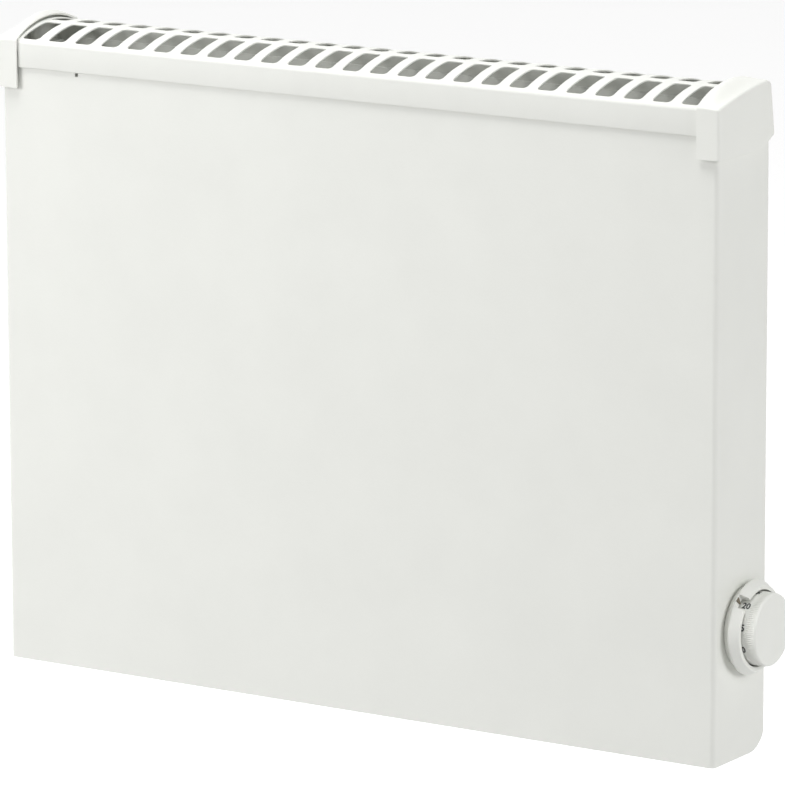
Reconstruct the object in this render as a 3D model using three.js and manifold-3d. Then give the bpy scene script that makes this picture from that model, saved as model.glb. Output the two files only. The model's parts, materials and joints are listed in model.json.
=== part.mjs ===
// Wall panel convector heater with its wall bracket, in millimetres.
// Inside this file X runs along the panel, Y runs back from the front face and
// Z runs up from the bottom edge. The exported group moves the origin to the
// back of the wall bracket, so that the wall is the plane y = 0.
import * as THREE from 'three';
import { mergeVertices } from 'three/addons/utils/BufferGeometryUtils.js';
import Module from 'manifold-3d';

const wasm = await Module();
wasm.setup();

// ---------------------------------------------------------------- sizes
const FIT = 0.3; // gap between pieces that touch
const SHEET = 1.0; // casing, back panel and grille sheet
const THIN_SHEET = 0.8; // inner duct sheet
const CUT = 2; // how far a cutter runs past the face it cuts

// casing: a folded front with side returns
const CASING_WIDTH = 471;
const CASING_DEPTH = 57;
const CASING_HEIGHT = 358;
const CASING_BEND = 3;
const REAR_FLANGE = 12;
const BOTTOM_FLANGE = 20;
const TOP_FLANGE = 8;
const LOWER_CORNER_RADIUS = 17;
const SIDE_TOP_FLANGE = [12, 13]; // how far it stops short of the front and of the rear
const SHOULDER_DROP = 17; // how far the rear top corner of a side is cut down
const SHOULDER_DEPTH = 6;
const CLIP_HOLE = 2; // small square hole under the grille lip
const CLIP_HOLE_INSET = [51.9, 11.4]; // from the left side and from the top

// top grille: an arched strip with a flat front lip
const ARCH_RADIUS = 67.7;
const CROWN_TO_REAR = 25; // from the arch's crown to the rear face of the casing
const ARCH_RISE = 5.2440413; // the arch's front end above the top of the casing
const LIP_DROP = 10; // the lip's and the rear flange's lower edges below the top
const GRILLE_REAR_DROP = 13;
const GRILLE_TUCK = 3.5; // length of grille under each end cap
const GRILLE_BEND = 2.6;
const ARCH_STEPS = 8;
const SLOT_COUNT = 25;
const SLOT_MARGINS = [11.58, 8.98]; // from the left and right end to a slot's centre
const SLOT_WIDTH = 11.4;
const SLOT_LENGTH = 23.3;
const SLOT_SLANT = 1.8;
const SLOT_CORNER = 2.4;
const CORNER_STEP = 50; // degrees of arc per facet on small corners
const CHAMFER_STEP = 100; // one facet per corner
const HOLE_FACETS = 6;
const FRONT_ROW_ANGLE = -17.3; // degrees from the crown
const ROW_SPACING = 24; // degrees

// end caps: moulded shells over both ends of the grille
const CAP_LENGTH = 14;
const CAP_WALL = 1.2;
const CAP_SIDE_GAP = 0.8;
const CAP_DROP = 22; // its lower edge below the top of the casing
const CAP_CROWN_RISE = 8.3;
const CAP_CROWN_FALL = 2.2; // from the outer side's crown to its rear corner
const CAP_CROWN_POWER = 1.5;
const CAP_UNDERSIDE = [[7.9, 3.8], [17.5, 6.5]]; // steps forward and down from the rear tip
const CAP_CROWN_BACK = 8.5;
const CAP_REAR_LEAN = 1.8;
const CAP_EDGE_RADIUS = 2.5;
const CAP_STEPS = 8;
const CAP_BOSS_RADIUS = 3;
const CAP_BOSS_Y = 28;
const CAP_BOSS_INSET = 4;
const CAP_BORE_DEPTH = 9;
const CAP_OPEN_DROP = 19.5; // how far its cavity is carried down past the lower edge

// back panel
const BACK_LAP = 6; // how far it laps over the casing's bottom flange
const BACK_TOP_INSET = 13.5; // above the shoulder cut, from the side
const INLET_COUNT = 21;
const INLET_PITCH = 20;
const INLET_SIZE = [6, 15];
const GROMMET_INSET = [59.5, 36]; // from the right side, and the height
const GROMMET_RADIUS = 5.5;
const GROMMET_BORE = 3.2;
const GROMMET_NOSE = [5, 4.4]; // how far it stands out at the back, and its radius there
const GROMMET_LIP = 2; // how far both flanges lap over the panel

// thermostat on the right side
const KNOB_AXIS = [32.5, 73.5];
const KNOB_RADIUS = 20.8;
const KNOB_REACH = 18; // front face of the knob, from the side of the casing
const KNOB_EDGE = 3.4;
const KNOB_FLANGE_END = 13.6; // where the ribs start
const KNOB_RIBS = 45;
const RIB_DEPTH = 0.45;
const KNOB_WALL = 3;
const KNOB_FOOT_GAP = 2.9;
const HUB_RADIUS = 5.6;
const HUB_START = 9;
const COLLAR_RADIUS = 25.2;
const COLLAR_BORE = 21.5;
const COLLAR_REACH = 11.5;
const COLLAR_FLOOR = 2;
const COLLAR_FOOT = 3.2; // its foot short of the widest radius
const COLLAR_FLARE = [[2.2, 2.6], [4.6, 0.4], [5.8, 0]]; // from the casing, short of that radius
const COLLAR_TAPER = [[0.5, 2.1], [0, 2.8]]; // short of the front edge, and of that radius
const COLLAR_NUT_GAP = 3; // from the clamp nut to the hole round it
const WINDOW_ANGLE = 34.7; // degrees above the forward direction
const WINDOW_WIDTH = 8.5;
const WINDOW_DEPTH = 5.2;
const SPINDLE_RADIUS = 3;
const SPINDLE_FLAT = 1.9;
const BUSH_RADIUS = 5;
const BUSH_REACH = 7.5;
const NUT_RADIUS = 8;
const NUT_HEIGHT = 3.4;
const STAT_BODY = [26, 30, 25];
const STAT_BORE_DEPTH = 12;
const STAT_CORNER = 2;
const BLADE = [10, 6.3, 0.8];
const BLADE_SEAT = 3;
const BLADE_SPACING = 14;
const BLADE_SHIFT = 6; // behind the spindle's axis
const BEZEL_SCREW_OFFSET = 16.6;

// inner air duct and heating element
const DUCT_INSET = [23.5, 43.5]; // from the left and right side of the casing
const DUCT_FRONT = 13;
const DUCT_FOOT = 11;
const DUCT_BOTTOM = 60;
const DUCT_DROP = 6; // its top below the top of the casing
const DUCT_BEND = 2;
const ELEMENT_AXIS = [29, 105];
const SHEATH_RADIUS = 4;
const ELEMENT_END_REACH = 6; // sheath beyond the duct walls
const FIN_CLEARANCE = 11;
const FIN_COUNT = 10;
const FIN_THICKNESS = 1.6;
const FIN_CORE = 6.5;
const FIN_REACH = [13, 26]; // shortest and tallest fin tips from the axis
const INSULATOR_RADIUS = 8;
const INSULATOR_COLLAR = 10.5;
const INSULATOR_STEPS = [6, 3, 5]; // inside the duct, collar and nose outside it
const INSULATOR_NOSE = 2; // wall of the nose
const PIN_RADIUS = 1.5;
const PIN_LENGTH = 14;
const PIN_SEAT = 8;
const LIMITER_INSET = [72, 150]; // from the duct's right wall, and the height
const LIMITER_RADIUS = 8.5;
const LIMITER_DEPTH = 9;
const LIMITER_STEP = [5, 6, 6.5]; // where the disc narrows, and its smaller radius
const LIMITER_EAR = 14;
const EAR_SIZE = [3, 1]; // half the height, and the thickness
const TAB_OFFSET = 3.5;
const TAB_SIZE = [0.4, 7, 3]; // half the thickness, length and half the height
const RIVET_HEADS = [2.6, 2.4, 1.6]; // both head radii, and the radius of their tops
const RIVET_HEIGHTS = [1, 0.8];
const RIVET_INSET = 2.5;

// terminal block and leads
const BLOCK_SIZE = [30, 13, 17];
const BLOCK_INSET = [22.5, 34]; // from the right side, and the height
const BLOCK_WAYS = 3;
const BLOCK_TOWER = [3.8, 2]; // half the width, and the corner
const BLOCK_WIRE_RADIUS = 2;
const BLOCK_SCREW_DEPTH = 3.5;
const EARTH_INSET = [49.5, 50];
const BLOCK_PITCH = 9.5;
const LEAD_RADIUS = 1.3;
const LEAD_SIDES = 5;
const LEAD_HOLES = [[14.7, 150], [10.7, 163]]; // [in front of the back panel, height]
const LEAD_HOLE_RADIUS = 2.4;
const LEAD_END_GAP = 0.5;
const WIRE_SEAT = 5; // how far above the block's middle a lead starts
// Points of the leads: [from the right side, or the left one where negative, in front of
// the back panel, height].
const LIVE_POINTS = [[14.5, 9.7, 50], [23.5, 12.7, 54], [35.5, 14.7, 55], [41.3, 16.2, 60]];
const NEUTRAL_POINTS = [[29.5, 7.7, 53], [47.5, 8.7, 55], [115.5, 8.7, 54],
  [CASING_WIDTH / 2, 8.7, 53], [-115.5, 8.7, 54],
  [-27.5, 8.7, 54], [-11.5, 10.7, 62], [-5.5, 18.7, 88]];
const EARTH_POINTS = [[38.5, 4.7, 50]];
const EARTH_END = 3.2;
const SWITCHED_POINTS = [[40.9, 13.7, 87], [39.5, 9.7, 98], [38.5, 8.7, 125], [38.5, 12.7, 145]];
const SWITCHED_INNER = [[55.5, 14.7, 152], [90.5, 13.7, 152]];
const ELEMENT_INNER = [[111.5, 9.7, 160], [85.5, 8.7, 165], [55.5, 10.7, 164]];
const ELEMENT_POINTS = [[35.5, 10.7, 154], [27.5, 12.7, 130]];

// wall bracket with its hooks and catches
const BRACKET_DEPTH = 27; // from the back of the casing to the wall
const BRACKET_SHEET = 1.5;
const BRACKET_WIDTH = 330;
const BRACKET_BOTTOM = 65;
const BRACKET_HEIGHT = 240;
const UPRIGHT_WIDTH = 34;
const BAR_HEIGHT = 30;
const BRACKET_CORNER = 6;
const BRACKET_BEND = 2.5;
const WALL_HOLE_RADIUS = 3;
const WALL_SLOT_LENGTH = 14;
const ARM_WIDTH = 16;
const HOOK_Z = 62; // top of the lower arms, on which the heater hangs
const HOOK_REACH = 32;
const HOOK_TIP = 8;
const HOOK_ROOT = 12; // how far the lower arm laps over the bracket
const CATCH_ROOT = 18; // and the upper one
// heights of the catches, down from the top of the casing
const SHELF_DROP = 90;
const GUIDE_DROP = 61;
const CATCH_DROPS = [74, 55];
const BEAK_DROP = 65;
const GUIDE_BEHIND = 3; // front of the guide plate, behind the casing
const CATCH_WIDTH = 24;
const CATCH_TRAVEL = 5;
const CATCH_GAP = 0.4;
const CATCH_DEPTH = 15;
const CATCH_CORNERS = [2, 3]; // of the block and of the thumb pad
const CATCH_PAD = [3, 22]; // thumb pad thickness and depth
const PAD_LAP = 0.1; // how far the thumb pad laps into the block
const BEAK_HEIGHT = 5;
const NOSE_GAP = 0.8; // from the back panel to the tooth
const TOOTH_STEPS = [1.5, 3.5]; // thickness of the tooth at its top and at its foot
const TOOTH_HEIGHT = 5;
const TOOTH_WIDTH = 14;
const SPRING_RADIUS = 3.4;
const SPRING_WIRE = 0.45;
const SPRING_TURNS = 5;
const SPRING_SIDES = 5;
const SPRING_STEPS = 8; // per turn
const SPRING_BEHIND = 1.6; // from the guide plate to the coil
const SPRING_LEAST_GAP = 0.4;

// screws
const SCREW_RADIUS = 1.4;
const SCREW_HEAD = [3, 2];
const SCREW_LENGTHS = { back: 5, duct: 4.5, grille: 4.5, under: 4.5, cap: 8, bezel: 3.2,
  block: 4.2, earth: 7.5 };
const BACK_SCREW_ENDS = [42, 36]; // up from the bottom, down from the top
const BACK_SCREW_SHIFT = 2; // the middle pair below the middle of the others
const DUCT_SCREW_ENDS = [84, 28];
const GRILLE_SCREW_INSET = 85.5;
const UNDER_SCREW_INSET = 45.5;

// ---------------------------------------------------------------- worked-out places
const HALF = CASING_WIDTH / 2;
const BACK_Y = CASING_DEPTH - SHEET - FIT; // outer face of the back panel
const BACK_INNER = BACK_Y - SHEET;
const UNDER_Z = SHEET + FIT; // outer face of the back panel's underside
const GRILLE_LIP_Y = -(FIT + SHEET);
const ARCH_Y = CASING_DEPTH - CROWN_TO_REAR;
const ARCH_DROP = Math.sqrt(ARCH_RADIUS ** 2 - (ARCH_Y - GRILLE_LIP_Y) ** 2);
const ARCH_CENTRE = [ARCH_Y, CASING_HEIGHT + ARCH_RISE - ARCH_DROP];
const LIP_BOTTOM = CASING_HEIGHT - LIP_DROP;
const GRILLE_REAR_BOTTOM = CASING_HEIGHT - GRILLE_REAR_DROP;
const CLIP_HOLE_AT = [CLIP_HOLE_INSET[0] - HALF, CASING_HEIGHT - CLIP_HOLE_INSET[1]];
const CAP_FRONT = GRILLE_LIP_Y - FIT - CAP_WALL;
const CAP_REAR = CASING_DEPTH + FIT + CAP_WALL;
const CAP_ARCH = ARCH_RADIUS + FIT + CAP_WALL;
const CAP_OUTER_X = HALF + CAP_SIDE_GAP + CAP_WALL;
const CAP_INNER_X = CAP_OUTER_X - CAP_LENGTH;
const GRILLE_HALF = CAP_INNER_X + GRILLE_TUCK;
const SLOT_FIRST = SLOT_MARGINS[0] - GRILLE_HALF;
const SLOT_PITCH = (GRILLE_HALF - SLOT_MARGINS[1] - SLOT_FIRST) / (SLOT_COUNT - 1);
const CAP_BOTTOM = CASING_HEIGHT - CAP_DROP;
const CAP_BOSS_X = HALF - CAP_BOSS_INSET;
const GROMMET_AT = [HALF - GROMMET_INSET[0], GROMMET_INSET[1]];
const BLOCK_AT = [HALF - BLOCK_INSET[0], BLOCK_INSET[1]];
const EARTH_AT = [HALF - EARTH_INSET[0], EARTH_INSET[1]];
const DUCT_LEFT = DUCT_INSET[0] - HALF;
const DUCT_RIGHT = HALF - DUCT_INSET[1];
const DUCT_Z = [DUCT_BOTTOM, CASING_HEIGHT - DUCT_DROP];
const LIMITER_AT = [DUCT_RIGHT - LIMITER_INSET[0], LIMITER_INSET[1]];
const WALL_Y = CASING_DEPTH + BRACKET_DEPTH;
const BRACKET_CENTRE_Z = BRACKET_BOTTOM + BRACKET_HEIGHT / 2;
const SHOULDER_Z = CASING_HEIGHT - SHOULDER_DROP;
const BACK_SCREW_X = HALF - REAR_FLANGE / 2;
const SCREW_HOLE = SCREW_RADIUS + FIT;
const UNDER_SCREW_Y = BOTTOM_FLANGE - BACK_LAP / 2;
const BACK_SCREW_MIDDLE = (CASING_HEIGHT + BACK_SCREW_ENDS[0] - BACK_SCREW_ENDS[1]) / 2;
const BACK_SCREW_HEIGHTS = [BACK_SCREW_ENDS[0], BACK_SCREW_MIDDLE - BACK_SCREW_SHIFT,
  CASING_HEIGHT - BACK_SCREW_ENDS[1]];
const DUCT_SCREW_HEIGHTS = [DUCT_SCREW_ENDS[0], CASING_HEIGHT - DUCT_SCREW_ENDS[1]];
const GRILLE_SCREW_X = [-1, 0, 1].map((side) => side * (HALF - GRILLE_SCREW_INSET));
const UNDER_SCREW_X = [-1, 0, 1].map((side) => side * (HALF - UNDER_SCREW_INSET));
const ARM_X = (BRACKET_WIDTH - UPRIGHT_WIDTH) / 2;
const CATCH_SHELF_Z = CASING_HEIGHT - SHELF_DROP;
const CATCH_PLATE_Y = CASING_DEPTH + GUIDE_BEHIND;
const CATCH_PLATE_TOP = CASING_HEIGHT - GUIDE_DROP;
const CATCH_Z = CATCH_DROPS.map((drop) => CASING_HEIGHT - drop);
const BEAK_Z = CASING_HEIGHT - BEAK_DROP;
const CATCH_FLOOR = CATCH_SHELF_Z + FIT;
const BEAK_TOP = BEAK_Z + BEAK_HEIGHT;

const rad = THREE.MathUtils.degToRad;

// ---------------------------------------------------------------- outlines
const rect = (u0, v0, u1, v1) => [[u0, v0], [u1, v0], [u1, v1], [u0, v1]];

function circle(radius, u, v, steps = 16) {
  const points = [];
  for (let i = 0; i < steps; i++) {
    const a = (2 * Math.PI * i) / steps;
    points.push([u + radius * Math.cos(a), v + radius * Math.sin(a)]);
  }
  return points;
}

const direction = (p, q) => {
  const length = Math.hypot(q[0] - p[0], q[1] - p[1]);
  return [(q[0] - p[0]) / length, (q[1] - p[1]) / length];
};

// A corner of a path as arc points; radius 0 keeps the corner.
function cornerPoints(before, corner, after, radiusOf, step) {
  const a = direction(before, corner);
  const b = direction(corner, after);
  const turn = Math.atan2(a[0] * b[1] - a[1] * b[0], a[0] * b[0] + a[1] * b[1]);
  const radius = radiusOf(turn);
  if (radius <= 0 || Math.abs(turn) < rad(20)) return [corner];
  const side = Math.sign(turn);
  const reach = radius * Math.tan(Math.abs(turn) / 2);
  const start = [corner[0] - a[0] * reach, corner[1] - a[1] * reach];
  const centre = [start[0] - side * a[1] * radius, start[1] + side * a[0] * radius];
  const count = Math.ceil(Math.abs(turn) / rad(step));
  const points = [];
  for (let i = 0; i <= count; i++) {
    const t = Math.atan2(start[1] - centre[1], start[0] - centre[0]) + (turn * i) / count;
    points.push([centre[0] + radius * Math.cos(t), centre[1] + radius * Math.sin(t)]);
  }
  return points;
}

function roundLoop(loop, radius, step = 30) {
  const n = loop.length;
  return loop.flatMap((p, i) =>
    cornerPoints(loop[(i + n - 1) % n], p, loop[(i + 1) % n], () => radius, step));
}

function roundPath(path, radiusOf, step) {
  const inner = path.slice(1, -1).flatMap((p, i) =>
    cornerPoints(path[i], p, path[i + 2], radiusOf, step));
  return [path[0], ...inner, path.at(-1)];
}

// Each point moved to its left by a distance, with mitred corners.
function offsetPoint(before, point, after, distance) {
  const a = before ? direction(before, point) : direction(point, after);
  const b = after ? direction(point, after) : a;
  const k = distance / (1 + a[0] * b[0] + a[1] * b[1]);
  return [point[0] - (a[1] + b[1]) * k, point[1] + (a[0] + b[0]) * k];
}

const offsetPath = (path, distance) =>
  path.map((p, i) => offsetPoint(path[i - 1], p, path[i + 1], distance));

const insetLoop = (loop, distance) =>
  loop.map((p, i) => offsetPoint(loop.at(i - 1), p, loop[(i + 1) % loop.length], distance));

// Section of a folded sheet. The path is one face and the sheet lies on its left.
function sheetSection(path, thickness, bend, step = 30) {
  const face = roundPath(path, (turn) => (turn > 0 ? bend : bend - thickness), step);
  const other = roundPath(offsetPath(path, thickness),
    (turn) => (turn > 0 ? bend - thickness : bend), step);
  return [...face, ...other.reverse()];
}

// ---------------------------------------------------------------- solids
function solid(geometry) {
  const bare = geometry.clone();
  bare.deleteAttribute('normal');
  bare.deleteAttribute('uv');
  const merged = mergeVertices(bare, 1e-4);
  const vertProperties = new Float32Array(merged.attributes.position.array);
  const triVerts = new Uint32Array(merged.index.array);
  const made = new wasm.Manifold(new wasm.Mesh({ numProp: 3, vertProperties, triVerts }));
  if (made.volume() > 0) return made;
  for (let i = 0; i < triVerts.length; i += 3) {
    [triVerts[i + 1], triVerts[i + 2]] = [triVerts[i + 2], triVerts[i + 1]];
  }
  return new wasm.Manifold(new wasm.Mesh({ numProp: 3, vertProperties, triVerts }));
}

function geometryOf(body) {
  const mesh = body.getMesh();
  const geometry = new THREE.BufferGeometry();
  geometry.setAttribute('position', new THREE.BufferAttribute(mesh.vertProperties, 3));
  geometry.setIndex(new THREE.BufferAttribute(mesh.triVerts, 1));
  geometry.computeVertexNormals();
  return geometry;
}

// Outlines for x are [y, z], for y are [x, z] and for z are [x, y].
const PLANES = {
  x: [[0, 1, 0], [0, 0, 1], [1, 0, 0]],
  y: [[1, 0, 0], [0, 0, 1], [0, -1, 0]],
  z: [[1, 0, 0], [0, 1, 0], [0, 0, 1]],
};

function extrude(axis, outline, from, to, holes = []) {
  const vectors = (loop) => loop.map(([u, v]) => new THREE.Vector2(u, v));
  const shape = new THREE.Shape(vectors(outline));
  holes.forEach((hole) => shape.holes.push(new THREE.Path(vectors(hole))));
  const geometry = new THREE.ExtrudeGeometry(shape, { depth: to - from, bevelEnabled: false });
  const basis = PLANES[axis].map((v) => new THREE.Vector3(...v));
  const start = basis[2].clone().multiplyScalar(axis === 'y' ? -to : from);
  geometry.applyMatrix4(new THREE.Matrix4().makeBasis(...basis).setPosition(start));
  return solid(geometry);
}

const box = (x, y, z) => extrude('z', rect(x[0], y[0], x[1], y[1]), z[0], z[1]);

// A turned piece: the closed profile is [distance along the axis, radius].
const TURNED = {
  x: [[0, 1, 0], [1, 0, 0], [0, 0, -1]],
  y: [[1, 0, 0], [0, 1, 0], [0, 0, 1]],
  z: [[0, 1, 0], [0, 0, 1], [1, 0, 0]],
};

function turned(axis, profile, at, steps = 24) {
  const loop = [...profile, profile[0]].map(([along, radius]) =>
    new THREE.Vector2(radius, along));
  const geometry = new THREE.LatheGeometry(loop, steps);
  const basis = TURNED[axis].map((v) => new THREE.Vector3(...v));
  geometry.applyMatrix4(new THREE.Matrix4().makeBasis(...basis));
  geometry.translate(...at);
  return solid(geometry);
}

const joined = (first, ...more) => more.reduce((all, one) => all.add(one), first);
const cut = (first, ...more) => more.reduce((all, one) => all.subtract(one), first);

// Triangles that fill a loop, all turned anticlockwise.
function fillTriangles(loop) {
  const points = loop.map(([u, v]) => new THREE.Vector2(u, v));
  return THREE.ShapeUtils.triangulateShape(points, []).map(([a, b, c]) => {
    const area = THREE.ShapeUtils.area([points[a], points[b], points[c]]);
    return area > 0 ? [a, b, c] : [a, c, b];
  });
}

// Skin between equal loops of [y, z] points at rising x.
function loft(sections) {
  const loops = sections.map(({ loop }) => [...loop].reverse());
  const n = loops[0].length;
  const positions = sections.flatMap(({ x }, s) => loops[s].flatMap(([y, z]) => [x, y, z]));
  const index = [];
  for (let s = 0; s + 1 < sections.length; s++) {
    for (let i = 0; i < n; i++) {
      const a = s * n + i;
      const b = s * n + ((i + 1) % n);
      index.push(a, b, a + n, b, b + n, a + n);
    }
  }
  const end = (sections.length - 1) * n;
  fillTriangles(loops[0]).forEach(([a, b, c]) => index.push(a, c, b));
  fillTriangles(loops.at(-1)).forEach(([a, b, c]) => index.push(end + a, end + b, end + c));
  const geometry = new THREE.BufferGeometry();
  geometry.setAttribute('position', new THREE.Float32BufferAttribute(positions, 3));
  geometry.setIndex(index);
  return solid(geometry);
}

function mirrored(body) {
  const geometry = geometryOf(body).applyMatrix4(new THREE.Matrix4().makeScale(-1, 1, 1));
  return solid(geometry);
}

// ---------------------------------------------------------------- screws
// A pan-head screw whose head seats at the origin and whose shank runs along +Y.
function screw(length, turn, x, y, z) {
  const [headRadius, headHeight] = SCREW_HEAD;
  const profile = [[-headHeight, 0], [-headHeight, headRadius * 0.7], [0, headRadius],
    [0, SCREW_RADIUS], [length - 1, SCREW_RADIUS], [length, 0]];
  const geometry = geometryOf(turned('y', profile, [0, 0, 0], 8));
  geometry.applyMatrix4(new THREE.Matrix4().makeRotationFromEuler(new THREE.Euler(...turn)));
  return geometry.translate(x, y, z);
}

const FORWARD = [0, 0, Math.PI]; // shank towards the front
const UPWARD = [Math.PI / 2, 0, 0];
const RIGHTWARD = [0, 0, -Math.PI / 2];

// ---------------------------------------------------------------- casing
function casing() {
  const tip = HALF - REAR_FLANGE;
  const path = [[-tip, CASING_DEPTH], [-HALF, CASING_DEPTH], [-HALF, 0], [HALF, 0],
    [HALF, CASING_DEPTH], [tip, CASING_DEPTH]];
  const folded = extrude('z', sheetSection(path, SHEET, CASING_BEND), 0, CASING_HEIGHT);
  const flat = HALF - CASING_BEND;
  const lap = SHEET / 2;
  const flanges = [
    box([-flat, flat], [lap, BOTTOM_FLANGE], [0, SHEET]),
    box([-flat, flat], [lap, TOP_FLANGE], [CASING_HEIGHT - SHEET, CASING_HEIGHT]),
    ...[-1, 1].map((side) => {
      const x = [side * tip, side * (HALF - lap)].sort((a, b) => a - b);
      const y = [SIDE_TOP_FLANGE[0], CASING_DEPTH - SIDE_TOP_FLANGE[1]];
      return box(x, y, [CASING_HEIGHT - SHEET, CASING_HEIGHT]);
    }),
  ];
  return geometryOf(cut(joined(folded, ...flanges), lowerCornerCut(), shoulderCut(),
    ...casingHoles()));
}

// What is left outside the rounded lower rear corner of the sides.
function lowerCornerCut() {
  const r = LOWER_CORNER_RADIUS;
  const arc = [];
  for (let i = 0; i <= 6; i++) {
    const a = (Math.PI / 12) * i;
    arc.push([CASING_DEPTH - r + r * Math.sin(a), r - r * Math.cos(a)]);
  }
  const outline = [[CASING_DEPTH - r, -CUT], [CASING_DEPTH + CUT, -CUT],
    [CASING_DEPTH + CUT, r], ...arc.reverse()];
  return extrude('x', outline, -HALF - CUT, HALF + CUT);
}

// The rear top corner of the sides slopes away under the end caps.
function shoulderCut() {
  const outline = [[CASING_DEPTH, SHOULDER_Z], [CASING_DEPTH + CUT, SHOULDER_Z],
    [CASING_DEPTH + CUT, CASING_HEIGHT + CUT], [CASING_DEPTH - SHOULDER_DEPTH, CASING_HEIGHT + CUT],
    [CASING_DEPTH - SHOULDER_DEPTH, CASING_HEIGHT]];
  return extrude('x', outline, -HALF - CUT, HALF + CUT);
}

function casingHoles() {
  const [y, z] = KNOB_AXIS;
  const side = [HALF - SHEET - CUT, HALF + CUT];
  const [clipX, clipZ] = CLIP_HOLE_AT;
  const clip = CLIP_HOLE / 2;
  return [
    extrude('x', circle(BUSH_RADIUS + FIT, y, z), ...side),
    ...[-1, 1].map((s) =>
      extrude('x', circle(SCREW_HOLE, y, z + s * BEZEL_SCREW_OFFSET, HOLE_FACETS), ...side)),
    box([clipX - clip, clipX + clip], [-CUT, SHEET + CUT], [clipZ - clip, clipZ + clip]),
    ...backScrewPlaces().map(([px, pz]) => rearHole(px, pz, CASING_DEPTH - SHEET)),
    ...UNDER_SCREW_X.map((x) =>
      extrude('z', circle(SCREW_HOLE, x, UNDER_SCREW_Y, HOLE_FACETS), -CUT, SHEET + CUT)),
    ...[-1, 1].map((s) => extrude('z', circle(SCREW_HOLE, s * CAP_BOSS_X, CAP_BOSS_Y, HOLE_FACETS),
      CASING_HEIGHT - SHEET - CUT, CASING_HEIGHT + CUT)),
  ];
}

const backScrewPlaces = () => [-1, 1].flatMap((side) =>
  BACK_SCREW_HEIGHTS.map((z) => [side * BACK_SCREW_X, z]));

const ductScrewPlaces = () => [DUCT_LEFT - DUCT_FOOT / 2, DUCT_RIGHT + DUCT_FOOT / 2]
  .flatMap((x) => DUCT_SCREW_HEIGHTS.map((z) => [x, z]));

// A round screw hole through one sheet whose inner face is at y.
const rearHole = (x, z, y) =>
  extrude('y', circle(SCREW_HOLE, x, z, HOLE_FACETS), y - CUT / 2, y + SHEET + CUT / 2);

// ---------------------------------------------------------------- back panel
function backPanel() {
  const half = HALF - CASING_BEND - FIT;
  const front = BOTTOM_FLANGE - BACK_LAP;
  const bend = LOWER_CORNER_RADIUS - UNDER_Z;
  const path = [[front, UNDER_Z], [BACK_Y, UNDER_Z], [BACK_Y, CASING_HEIGHT]];
  const panel = extrude('x', sheetSection(path, SHEET, bend, 15), -half, half);
  const span = [BACK_INNER - CUT, BACK_Y + CUT];
  const corners = [-1, 1].map((side) => {
    const x = [side * (HALF - BACK_TOP_INSET), side * (half + CUT)].sort((a, b) => a - b);
    return box(x, span, [SHOULDER_Z, CASING_HEIGHT + CUT]);
  });
  const holes = [
    ...backScrewPlaces().map(([x, z]) => rearHole(x, z, BACK_INNER)),
    ...ductScrewPlaces().map(([x, z]) => rearHole(x, z, BACK_INNER)),
    ...GRILLE_SCREW_X.map((x) => rearHole(x, grilleScrewZ(), BACK_INNER)),
    ...UNDER_SCREW_X.map((x) => extrude('z', circle(SCREW_HOLE, x, UNDER_SCREW_Y, HOLE_FACETS),
      UNDER_Z - CUT / 2, UNDER_Z + SHEET + CUT)),
    rearHole(...blockScrewPlace(), BACK_INNER),
    rearHole(...EARTH_AT, BACK_INNER),
    extrude('y', circle(GROMMET_RADIUS, ...GROMMET_AT), ...span),
  ];
  return geometryOf(cut(panel, ...corners, ...holes, ...inletSlots(), ...bracketSlots()));
}

// Slots across the underside and the start of the lower bend, where cool air enters.
function inletSlots() {
  const [width, length] = INLET_SIZE;
  const front = BOTTOM_FLANGE + 2;
  const slot = roundLoop(rect(-width / 2, front, width / 2, front + length),
    width / 2.8, CHAMFER_STEP);
  const first = (-(INLET_COUNT - 1) * INLET_PITCH) / 2;
  return Array.from({ length: INLET_COUNT }, (_, i) => extrude('z',
    slot.map(([x, y]) => [x + first + i * INLET_PITCH, y]), UNDER_Z - CUT, UNDER_Z + SHEET + CUT));
}

// Slots that the bracket's hooks and catches go through.
function bracketSlots() {
  const half = ARM_WIDTH / 2 + 1;
  const span = [BACK_INNER - CUT, BACK_Y + CUT];
  const slot = (x, low, high) =>
    extrude('y', roundLoop(rect(x - half, low, x + half, high), 1, 45), ...span);
  return [-ARM_X, ARM_X].flatMap((x) => [
    slot(x, HOOK_Z - BRACKET_SHEET - HOOK_TIP - 1, HOOK_Z + FIT),
    slot(x, BEAK_Z - CATCH_TRAVEL - 1, BEAK_TOP + 2 * FIT),
  ]);
}

// ---------------------------------------------------------------- top grille
const archZ = (radius, y) =>
  ARCH_CENTRE[1] + Math.sqrt(radius ** 2 - (y - ARCH_CENTRE[0]) ** 2);

function archPoints(radius, from, to, steps) {
  const angle = (y) => Math.asin((y - ARCH_CENTRE[0]) / radius);
  return Array.from({ length: steps + 1 }, (_, i) => {
    const t = THREE.MathUtils.lerp(angle(from), angle(to), i / steps);
    return [ARCH_CENTRE[0] + radius * Math.sin(t), ARCH_CENTRE[1] + radius * Math.cos(t)];
  });
}

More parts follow.
